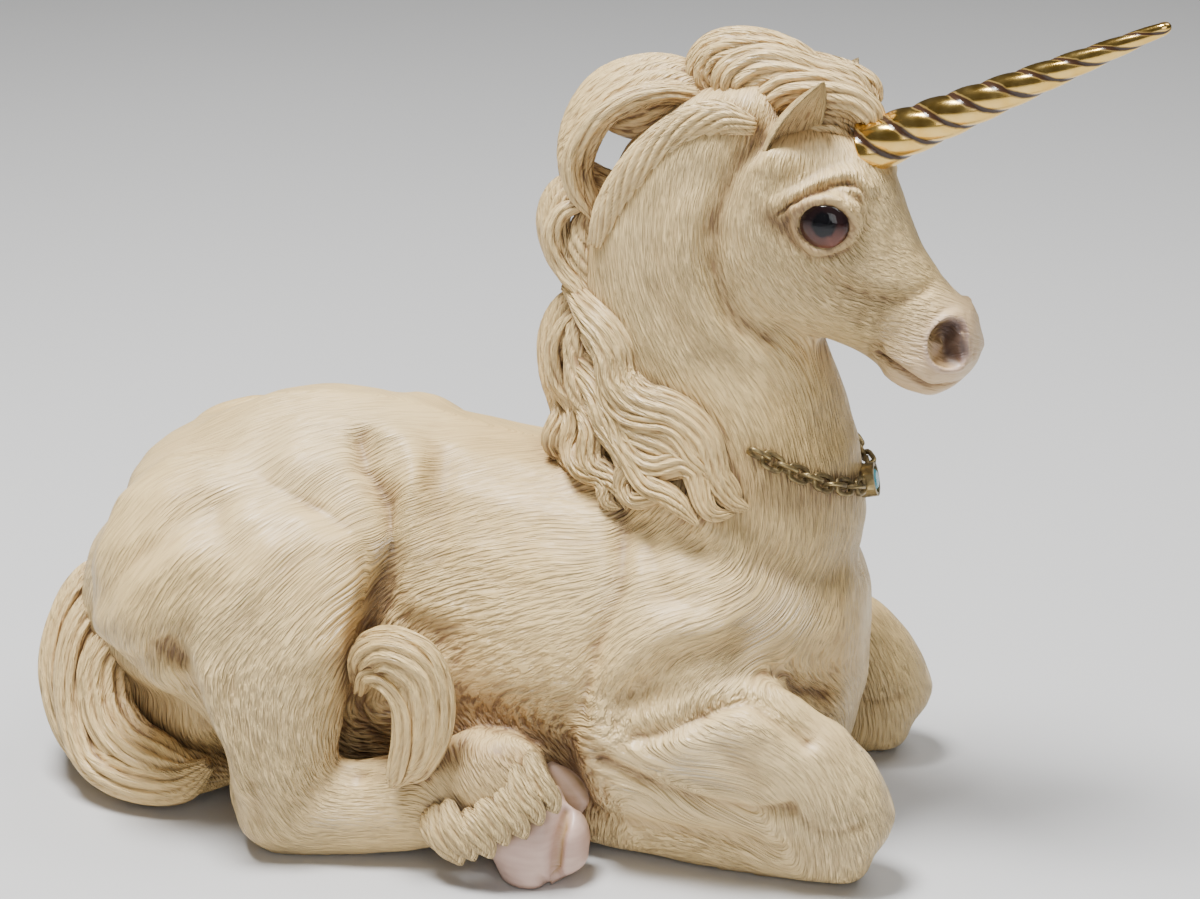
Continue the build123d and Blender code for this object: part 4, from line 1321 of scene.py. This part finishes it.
@dataclass
class Casting:
    """The cast animal: trunk, neck, head and legs under one skin of engraved hair.

    Attributes:
        cell: size of the skin's faces in millimetres, twice that of the head's.
        face: the face's lines.
    """

    cell: float = 1.3
    face: Face = field(default_factory=Face)

    SOCKET_FILL = (7.6, 3.0, 7.6)
    EAR_ROOT = (9, 7, 5)
    EAR_SHIFT = (3, 3, 1)
    NODES = ("trunk", "neck", "head", *sided("haunch", "hind_shank", "forearm", "fore_shank"))
    LUMPS = (
        ((76, -44, 44), (24, 12, 13), 24),
        ((101, -43, 20), (11, 12, 14), 0),
        ((-58, -55, 16), (13, 10, 14), 0),
        ((7, -56, 26), (14, 11, 15), 20),
        ((-84, 0, 88), (30, 44, 16), -8),
    )
    LIE = (
        (60, 190, -0.5, -0.8), (35, 180, -0.35, -0.9), (40, 165, 0.0, -1.0), (45, 148, 0.5, -0.85),
        (75, 140, 0.8, -0.5), (58, 130, 0.75, -0.65), (75, 120, 0.7, -0.7), (88, 112, 0.5, -0.85),
        (78, 104, 0.6, -0.8), (92, 95, 0.0, -1.0), (92, 70, -0.5, -0.9), (50, 90, -0.55, -0.8),
        (60, 70, -0.9, -0.45), (40, 55, -0.5, -0.9), (75, 45, 0.9, -0.4), (100, 22, 0.5, -0.8),
        (70, 12, -1.0, 0.1), (10, 105, -1.0, 0.1), (0, 85, -0.75, -0.65), (10, 55, -0.5, -0.85),
        (-25, 85, -0.5, -0.85), (-30, 108, -1.0, 0.0), (-70, 112, -1.0, -0.1), (-55, 90, -0.7, -0.7),
        (-75, 75, -0.75, -0.65), (-100, 80, -0.7, -0.7), (-40, 65, 0.1, -1.0), (-70, 45, 0.1, -1.0),
        (-58, 25, 0.3, -0.95), (-30, 15, 1.0, 0.1), (8, 26, 0.45, -0.9), (-115, 50, -0.2, -1.0),
    )

    FORMS = (
        # thigh, its front edge and the folds of the flank
        (((-56, 100), (-44, 95), (-38, 86), (-39, 74), (-43, 62)), 9.0, 2.6),
        (
            ((-41, 109), (-38, 105), (-33, 100), (-28, 93), (-27, 84), (-29, 74), (-31, 65), (-34, 56)),
            2.6, -4.0,
        ),
        (((-33, 111), (-28, 108), (-24, 102), (-25, 93), (-27, 87)), 3.2, 2.4),
        (((-22, 110), (-19, 107), (-17, 101), (-15, 91), (-14, 83)), 4.0, -1.6),
        (((-28, 73), (-24, 66), (-13, 62)), 5.0, -1.8),
        # hamstrings and buttock
        (((-115, 63), (-106, 70), (-96, 81), (-86, 89), (-75, 94)), 4.5, -2.6),
        (((-114, 55), (-100, 66), (-92, 77), (-82, 84)), 5.0, 1.5),
        (((-110, 46), (-94, 53), (-85, 60), (-79, 65)), 4.5, -2.6),
        (((-122, 34), (-112, 30), (-100, 29), (-88, 33)), 7.0, -4.0),
        # gaskin and hock
        (((-57, 86), (-66, 74), (-74, 62)), 4.5, 1.8),
        (((-71, 55), (-69, 44), (-64, 35), (-62, 24)), 4.0, 3.2),
        (((-84, 56), (-81, 46), (-77, 36), (-75, 26), (-76, 12)), 5.5, -6.5),
        (((-35, 44), (-36, 34), (-32, 27)), 3.0, -2.0),
        (((-59, 25), (-59, 13)), 2.6, -1.4),
        (((-52, 26),), 5.0, 1.2),
        # shoulder blade
        (((29, 108), (33, 100), (36, 91), (37, 81), (33, 70), (31, 60), (29, 47)), 3.2, -2.4),
        (((41, 94), (51, 81), (58, 77)), 3.6, -1.7),
        (((44, 102), (55, 101), (62, 97)), 5.0, 1.4),
        (((59, 97), (65, 90), (72, 79)), 5.0, 1.4),
        (((64, 103), (72, 92), (78, 82)), 4.0, -1.2),
        # elbow, forearm and knee
        (((32, 49), (37, 59), (45, 68), (55, 74), (64, 74)), 5.5, 2.4),
        (((38, 47), (45, 56), (54, 63), (67, 66)), 4.0, -1.2),
        (((43, 43), (52, 46), (60, 50), (68, 54), (75, 55), (82, 51), (90, 45)), 2.3, -2.8),
        (((58, 44), (68, 48), (78, 49)), 5.0, 1.6),
        (((62, 48), (71, 40), (79, 33)), 4.0, -1.2),
        (((35, 35), (51, 29), (64, 26), (76, 25), (86, 27)), 2.4, -2.6),
        (((87, 26), (92, 22), (97, 20), (105, 22)), 1.8, -1.2),
        (((81, 17), (86, 20)), 3.0, 1.0),
        (((81, 57), (89, 58), (93, 52)), 5.0, -1.2),
        # neck
        (((53, 188), (45, 182), (41, 171), (42, 158), (53, 144), (67, 137)), 5.0, -1.3),
        (((50, 178), (50, 164), (57, 150), (68, 141)), 6.0, 1.2),
        (((66, 146), (74, 133), (82, 123), (90, 116)), 4.0, -1.2),
    )

    # Painted shade with brown wash under the belly, on the chest, along the chain and at the elbow.
    SHADE_AND_WASH_PATCHES = (
        (((20, 40), (5, 38), (-10, 40)), 14.0, 0.55),
        (((98, 70), (98, 50)), 8.0, 0.6),
        (((62, 112), (78, 104), (96, 100)), 5.0, 0.55),
        (((28, 34), (30, 24)), 6.0, 0.7),
    )

    def build(self, paint: bpy.types.Material) -> bpy.types.Object:
        """Fuses, sculpts and combs the casting.

        Args:
            paint: its material.

        Returns:
            The piece.
        """
        clay = node_copy(*self.NODES)
        for centre, radii, pitch in self.LUMPS:
            add_lump(clay, centre, radii, pitch)
        self.fill_out(clay)
        skin = Skin(remeshed(clay, self.cell, "casting"))
        skin.soften(rounds=10)
        skin.smooth(rounds=6)
        skin = Skin(self.finer(skin.mesh))
        skin.smooth(rounds=8)
        self.sculpt(skin)
        self.face.sculpt(skin)
        skin.soften(rounds=2)
        self.face.open_eyes(skin)
        skin.ripple(wave=9.0, height=0.35)
        skin.comb(SIDE_VIEW, (*self.LIE, *self.face.guides()), reach=15.0)
        self.tint(skin)
        self.add_feathers(skin.mesh)
        return show("casting", skin.mesh, paint, "cast_ivory", *self.NODES)

    def fill_out(self, clay: bmesh.types.BMesh) -> None:
        """Fills the eye sockets, which the lids are modelled over, and rounds the ears' roots."""
        for side in Side:
            low, high = (Vector(corner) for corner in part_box(f"{side.word}_eye_iris"))
            spot = Matrix.Translation((low + high) / 2)
            stretch = Matrix.Diagonal((*(size * MM for size in self.SOCKET_FILL), 1.0))
            bmesh.ops.create_icosphere(clay, subdivisions=3, radius=1.0, matrix=spot @ stretch)
            low, high = (Vector(corner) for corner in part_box(f"{side.word}_ear"))
            middle = (low + high) / 2
            ahead, inward, down = (size * MM for size in self.EAR_SHIFT)
            spot = Matrix.Translation((low.x + ahead, middle.y - side.value * inward, low.z - down))
            stretch = Matrix.Diagonal((*(size * MM for size in self.EAR_ROOT), 1.0))
            bmesh.ops.create_icosphere(clay, subdivisions=3, radius=1.0, matrix=spot @ stretch)

    def finer(self, mesh: bpy.types.Mesh) -> bpy.types.Mesh:
        """Halves the faces of the head.

        Args:
            mesh: the fused casting.

        Returns:
            The same mesh with smaller faces on the head.
        """
        form = bmesh.new()
        form.from_mesh(mesh)
        middles = np.array([face.calc_center_median() for face in form.faces]) / MM
        chosen = self.face.within(middles)
        edges = {edge for face, wanted in zip(form.faces, chosen) if wanted for edge in face.edges}
        bmesh.ops.subdivide_edges(form, edges=list(edges), cuts=1, use_grid_fill=True)
        form.to_mesh(mesh)
        form.free()
        return mesh

    def sculpt(self, skin: Skin) -> None:
        """Cuts the folds and raises the muscles."""
        for line, width, height in self.FORMS:
            skin.press(SIDE_VIEW, line, width, height)

    def tint(self, skin: Skin) -> None:
        """Stores where the wash and painted shade are thick and where the skin is bare or flesh coloured."""
        shares = self.face.tint(skin)
        shares["bald"] = np.clip(shares["bald"] + np.clip((skin.normals[:, 2] - 0.45) / 0.5, 0, 0.75), 0, 1)
        for line, width, share in self.SHADE_AND_WASH_PATCHES:
            shares["tan_and_shade"] = shares["tan_and_shade"] + skin.near(SIDE_VIEW, line, width) * share
        shares["tan_and_shade"] = np.clip(shares["tan_and_shade"], 0, 1)
        head = self.face.within(skin.points)
        # Painted shade in the skin's dips and creases.
        shares["dip"] = np.clip(skin.hollows() * np.where(head, 9, 6), 0, 1)
        for name, values in shares.items():
            write_values(skin.mesh, name, values)

    def add_feathers(self, mesh: bpy.types.Mesh) -> None:
        """Adds the hair that hangs over the hind hooves."""
        form = bmesh.new()
        form.from_mesh(mesh)
        for lock in FEATHERS:
            lock.build(form)
            lock.mirrored().build(form)
        bmesh.ops.recalc_face_normals(form, faces=form.faces)
        form.to_mesh(mesh)
        form.free()


@dataclass
class Ears:
    """The two leaf-shaped ears, hollow in front.

    Attributes:
        breadth: half breadths from root to tip, in millimetres.
        depth: half thicknesses from root to tip, in millimetres.
    """

    breadth: tuple[float, ...] = (5.8, 7.6, 7.8, 6.6, 4.2, 0.3)
    depth: tuple[float, ...] = (4.6, 5.6, 5.6, 4.8, 3.0, 0.3)

    ROUND = 40
    RINGS = 34
    ROOT_AHEAD, ROOT_IN, ROOT_SUNK, TIP_OUT = 3.0, 4.0, 4.0, 1.0
    FACING = (0.78, 0.62)
    HOLLOW = 0.35

    def build(self, side: Side, paint: bpy.types.Material) -> bpy.types.Object:
        """Makes one ear.

        Args:
            side: which ear.
            paint: its material.

        Returns:
            The piece.
        """
        node = f"{side.word}_ear"
        low, high = (Vector(corner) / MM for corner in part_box(node))
        middle = (low.y + high.y) / 2
        root = Vector((low.x + self.ROOT_AHEAD, middle - side.value * self.ROOT_IN, low.z - self.ROOT_SUNK))
        tip = Vector((high.x, middle + side.value * self.TIP_OUT, high.z))
        lean = (tip - root).normalized()
        front = Vector((self.FACING[0], side.value * self.FACING[1], 0)).normalized()
        front = (front - lean * front.dot(lean)).normalized()
        wide = lean.cross(front)
        ear = bmesh.new()
        dip = ear.verts.layers.float.new("dip")
        lie = ear.verts.layers.float_vector.new("lie")
        breadth = eased([(size,) for size in self.breadth], self.RINGS)[:, 0]
        depth = eased([(size,) for size in self.depth], self.RINGS)[:, 0]

        def place(step: int, ring: Ring) -> None:
            """Shapes one ring."""
            share = step / (self.RINGS - 1)
            middle_spot = root.lerp(tip, share)
            for index, point in enumerate(ring):
                angle = 2 * math.pi * index / self.ROUND
                out = math.sin(angle)
                hollow = -self.HOLLOW * out if out > 0 else out
                spot = middle_spot + wide * breadth[step] * math.cos(angle) + front * depth[step] * hollow
                point.co = spot * MM
                # Painted shade in the ear's hollow, deepest towards the root.
                point[dip] = 0.55 * max(0.0, out) * (1 - share) + 0.1 * max(0.0, out)
                point[lie] = Vector((share * 24, angle * 6, 0))

        drawn_out(ear, self.ROUND, self.RINGS, place, (root, tip))
        bmesh.ops.recalc_face_normals(ear, faces=ear.faces)
        return show(f"{node}_leaf", finished(ear, node), paint, "cast_ivory", node)


@dataclass
class Horn:
    """The gilded horn: a tapering rope of three strands.

    Attributes:
        base: half thickness at the root, in millimetres.
        tip: half thickness at the end.
        strands: strands in the rope.
        turns: turns each strand makes.
    """

    base: float = 7.25
    tip: float = 1.6
    strands: int = 3
    turns: float = 3.0

    ROUND = 72
    RINGS = 180
    BLUNT_FROM, BLUNT_SPAN, BLUNT_END = 0.97, 0.0009, 0.02
    GROOVE = 0.14
    FULLNESS = 0.7

    def build(self, gold: bpy.types.Material) -> bpy.types.Object:
        """Makes the horn along the CAD horn's own axis.

        Args:
            gold: its material.

        Returns:
            The piece.
        """
        root, end = self.axis()
        way = (end - root).normalized()
        side = way.cross(Vector((0, 0, 1))).normalized()
        up = side.cross(way)
        rope = bmesh.new()
        dip = rope.verts.layers.float.new("dip")

        def place(step: int, ring: Ring) -> None:
            """Shapes one ring."""
            share = step / (self.RINGS - 1)
            radius = self.base + (self.tip - self.base) * share
            past = max(0.0, share - self.BLUNT_FROM)
            radius *= math.sqrt(max(0.0, 1 - past**2 / self.BLUNT_SPAN)) + self.BLUNT_END
            twist = 2 * math.pi * self.turns * share
            for index, point in enumerate(ring):
                angle = 2 * math.pi * index / self.ROUND
                wave = abs(math.cos((angle + twist) * self.strands / 2))
                size = radius * (1 - self.GROOVE + self.GROOVE * wave**self.FULLNESS)
                spot = root.lerp(end, share) + (side * math.cos(angle) + up * math.sin(angle)) * size
                point.co = spot * MM
                point[dip] = 1 - wave

        drawn_out(rope, self.ROUND, self.RINGS, place, (root, end))
        bmesh.ops.recalc_face_normals(rope, faces=rope.faces)
        return show("horn_rope", finished(rope, "horn"), gold, "gilded_horn", "horn")

    def axis(self) -> tuple[Vector, Vector]:
        """Middle of the CAD horn's root and of its tip, in millimetres."""
        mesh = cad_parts["horn"].data
        spots = np.array([point.co for point in mesh.vertices]) / MM
        far = spots[np.argmax(spots[:, 0])]
        reach = np.linalg.norm(spots - far, axis=1)
        near_tip = spots[reach < 4.0].mean(axis=0)
        body = spots.mean(axis=0)
        way = near_tip - body
        way /= np.linalg.norm(way)
        along = (spots - near_tip) @ way
        low = spots[along < along.min() + 10.0].mean(axis=0)
        way = (near_tip - low) / np.linalg.norm(near_tip - low)
        along = (spots - low) @ way
        return Vector(low + way * along.min()), Vector(low + way * along.max())


@dataclass
class Eyes:
    """Clear domes over painted discs."""

    def build(
        self, side: Side, glass: bpy.types.Material, paint: bpy.types.Material
    ) -> list[bpy.types.Object]:
        """Rounds one eye's dome off and rings its disc.

        Args:
            side: which eye.
            glass: material of the dome.
            paint: material of the disc.

        Returns:
            The dome and the disc.
        """
        name = side.word
        dome = node_copy(f"{name}_eye_glass")
        bmesh.ops.subdivide_edges(dome, edges=dome.edges, cuts=3, use_grid_fill=True, smooth=0.6)
        dome_mesh = finished(dome, f"{name}_dome")
        disc = node_copy(f"{name}_eye_iris")
        bmesh.ops.triangulate(disc, faces=disc.faces)
        bmesh.ops.subdivide_edges(disc, edges=disc.edges, cuts=7, use_grid_fill=True)
        disc_mesh = finished(disc, f"{name}_disc")
        spots = np.array([point.co for point in disc_mesh.vertices]) / MM
        middle = (spots.min(axis=0) + spots.max(axis=0)) / 2
        reach = np.linalg.norm(spots - middle, axis=1)
        write_values(disc_mesh, "ring", reach / reach.max())
        drop = (middle[2] - spots[:, 2]) / reach.max()
        write_values(disc_mesh, "low", np.clip(drop + 0.3, 0, 1))
        return [
            show(f"{name}_eye_dome", dome_mesh, glass, "eye_glass", f"{name}_eye_glass"),
            show(f"{name}_eye_disc", disc_mesh, paint, "eye_paint", f"{name}_eye_iris"),
        ]


@dataclass
class Hooves:
    """The four cloven hooves.

    Attributes:
        cell: size of their faces in millimetres.
    """

    cell: float = 0.45

    CORE = 0.5
    DROP = 2.0
    CLEFT = ((26.5, 22), (25, 14), (24, 3))
    CLEFT_CUTS = ((2.4, -2.6), (1.2, -2.2))

    def build(self, node: str, paint: bpy.types.Material) -> bpy.types.Object:
        """Rounds one CAD hoof off.

        Args:
            node: its CAD node.
            paint: its material.

        Returns:
            The piece.
        """
        clay = node_copy(node)
        low, high = (Vector(corner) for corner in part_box(node))
        stretch = Matrix.Diagonal((*((high - low) * self.CORE), 1.0))
        spot = Matrix.Translation((low + high) / 2 - Vector((0, 0, self.DROP * MM)))
        bmesh.ops.create_icosphere(clay, subdivisions=3, radius=1.0, matrix=spot @ stretch)
        skin = Skin(remeshed(clay, self.cell, node))
        skin.soften(rounds=45)
        if "hind" in node:
            for width, height in self.CLEFT_CUTS:
                skin.press(SIDE_VIEW, self.CLEFT, width, height)
            skin.soften(rounds=4)
        # Painted shade in the hoof's hollows.
        write_values(skin.mesh, "dip", np.clip(skin.hollows() * 12, 0, 0.8))
        write_values(skin.mesh, "tan_and_shade", np.zeros(len(skin.points)))
        return show(f"{node}_horny", skin.mesh, paint, "cast_hoof", node)


@dataclass
class Necklace:
    """The chain, the setting and the stone."""

    def build(self, paints: Paints) -> list[bpy.types.Object]:
        """Rounds the links' wire off and dresses the stone.

        Args:
            paints: the finishes.

        Returns:
            The pieces.
        """
        pieces = []
        brass = paints.brass("antique_brass")
        for node in ("chain_even_links", "chain_odd_links"):
            piece = show(f"{node}_wire", finished(node_copy(node), node), brass, "chain_brass", node)
            rounder = piece.modifiers.new("Round wire", "SUBSURF")
            rounder.levels = rounder.render_levels = 1
            pieces.append(piece)
        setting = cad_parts["stone_setting"]
        setting.data.materials.clear()
        setting.data.materials.append(paints.brass("setting_brass"))
        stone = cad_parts["stone"]
        stone.data.materials.clear()
        aqua = paints.clear("aqua_glass", *paints.AQUA, roughness=0.03, clearness=0.35)
        stone.data.materials.append(aqua)
        return pieces


@dataclass
class Studio:
    """Pale floor, soft lights and the camera at the photograph's angle.

    Attributes:
        azimuth: turn of the camera towards the animal's front, in degrees.
        elevation: height of the camera above level, in degrees.
        reach: distance of the camera from the aim, in metres.
        lens: focal length in millimetres on a 36 mm wide sensor.
        aim: place in the middle of the picture, in metres.
    """

    azimuth: float = 12.0
    elevation: float = 20.0
    reach: float = 0.9
    lens: float = 97.2
    aim: Place = (0.0227, 0.0, 0.1036)

    SENSOR = 36.0
    FLOOR_HALF = 3.0
    FLOOR_GAP = 0.0004
    BACKGROUND = (0.86, 0.84, 0.80, 1.0)
    GLOW = 0.12
    LIGHTS = (
        ("key", (-0.22, -0.16, 1.25), 0.40, 33.0),
        ("fill", (0.35, -1.05, 0.55), 0.7, 4.0),
        ("top", (0.5, 0.2, 1.1), 0.6, 6.0),
    )

    def build(self, paper: bpy.types.Material) -> None:
        """Sets the studio up.

        Args:
            paper: material of the floor.
        """
        sheet = bmesh.new()
        bmesh.ops.create_grid(sheet, x_segments=1, y_segments=1, size=self.FLOOR_HALF)
        mesh = finished(sheet, "floor")
        mesh.materials.append(paper)
        floor = bpy.data.objects.new("floor", mesh)
        floor.location.z = -self.FLOOR_GAP
        bpy.context.scene.collection.objects.link(floor)
        for name, place, size, power in self.LIGHTS:
            self.light(name, place, size, power)
        world = bpy.data.worlds.new("studio")
        world.use_nodes = True
        background = world.node_tree.nodes["Background"]
        background.inputs["Color"].default_value = self.BACKGROUND
        background.inputs["Strength"].default_value = self.GLOW
        bpy.context.scene.world = world
        self.camera()

    def light(self, name: str, place: Place, size: float, power: float) -> None:
        """Adds one soft square light aimed at the object."""
        lamp = bpy.data.lights.new(name, "AREA")
        lamp.size = size
        lamp.energy = power
        holder = bpy.data.objects.new(name, lamp)
        holder.location = place
        way = Vector(self.aim) - Vector(place)
        holder.rotation_euler = way.to_track_quat("-Z", "Y").to_euler()
        bpy.context.scene.collection.objects.link(holder)

    def camera(self) -> None:
        """Adds the camera."""
        data = bpy.data.cameras.new("camera")
        data.lens = self.lens
        data.sensor_width = self.SENSOR
        holder = bpy.data.objects.new("camera", data)
        turn, rise = math.radians(self.azimuth), math.radians(self.elevation)
        back = Vector((math.sin(turn) * math.cos(rise), -math.cos(turn) * math.cos(rise), math.sin(rise)))
        holder.location = Vector(self.aim) + back * self.reach
        holder.rotation_euler = (-back).to_track_quat("-Z", "Y").to_euler()
        bpy.context.scene.collection.objects.link(holder)
        bpy.context.scene.camera = holder


def main() -> None:
    """Builds, paints and stages the figurine."""
    logging.basicConfig(level=logging.INFO, format="%(name)s %(message)s")
    paints = Paints()
    ivory = paints.ivory("ivory_hair", fineness=1.0, depth=1.3)
    face = paints.ivory("ivory_face", fineness=1.2, depth=0.9)
    mane = paints.ivory("ivory_mane", fineness=0.9, depth=0.8)
    hoof = paints.hoof()
    casting = Casting().build(ivory)
    pieces = [casting]
    ground = BVHTree.FromObject(casting, bpy.context.evaluated_depsgraph_get())
    ears, eyes, hooves = Ears(), Eyes(), Hooves()
    glass = paints.clear("clear_glass", *paints.CLEAR, roughness=0.0, clearness=1.0)
    iris = paints.iris()
    for side in Side:
        pieces.append(ears.build(side, face))
        eyes.build(side, glass, iris)
    for node in sided("hind_hoof", "fore_hoof"):
        pieces.append(hooves.build(node, hoof))
    pieces.extend(piece.build(mane, ground) for piece in HAIR)
    pieces.extend(Necklace().build(paints))
    Horn().build(paints.gold())
    shade_recesses([piece.data for piece in pieces])
    Studio().build(paints.floor())


if __name__ == "__main__":
    main()
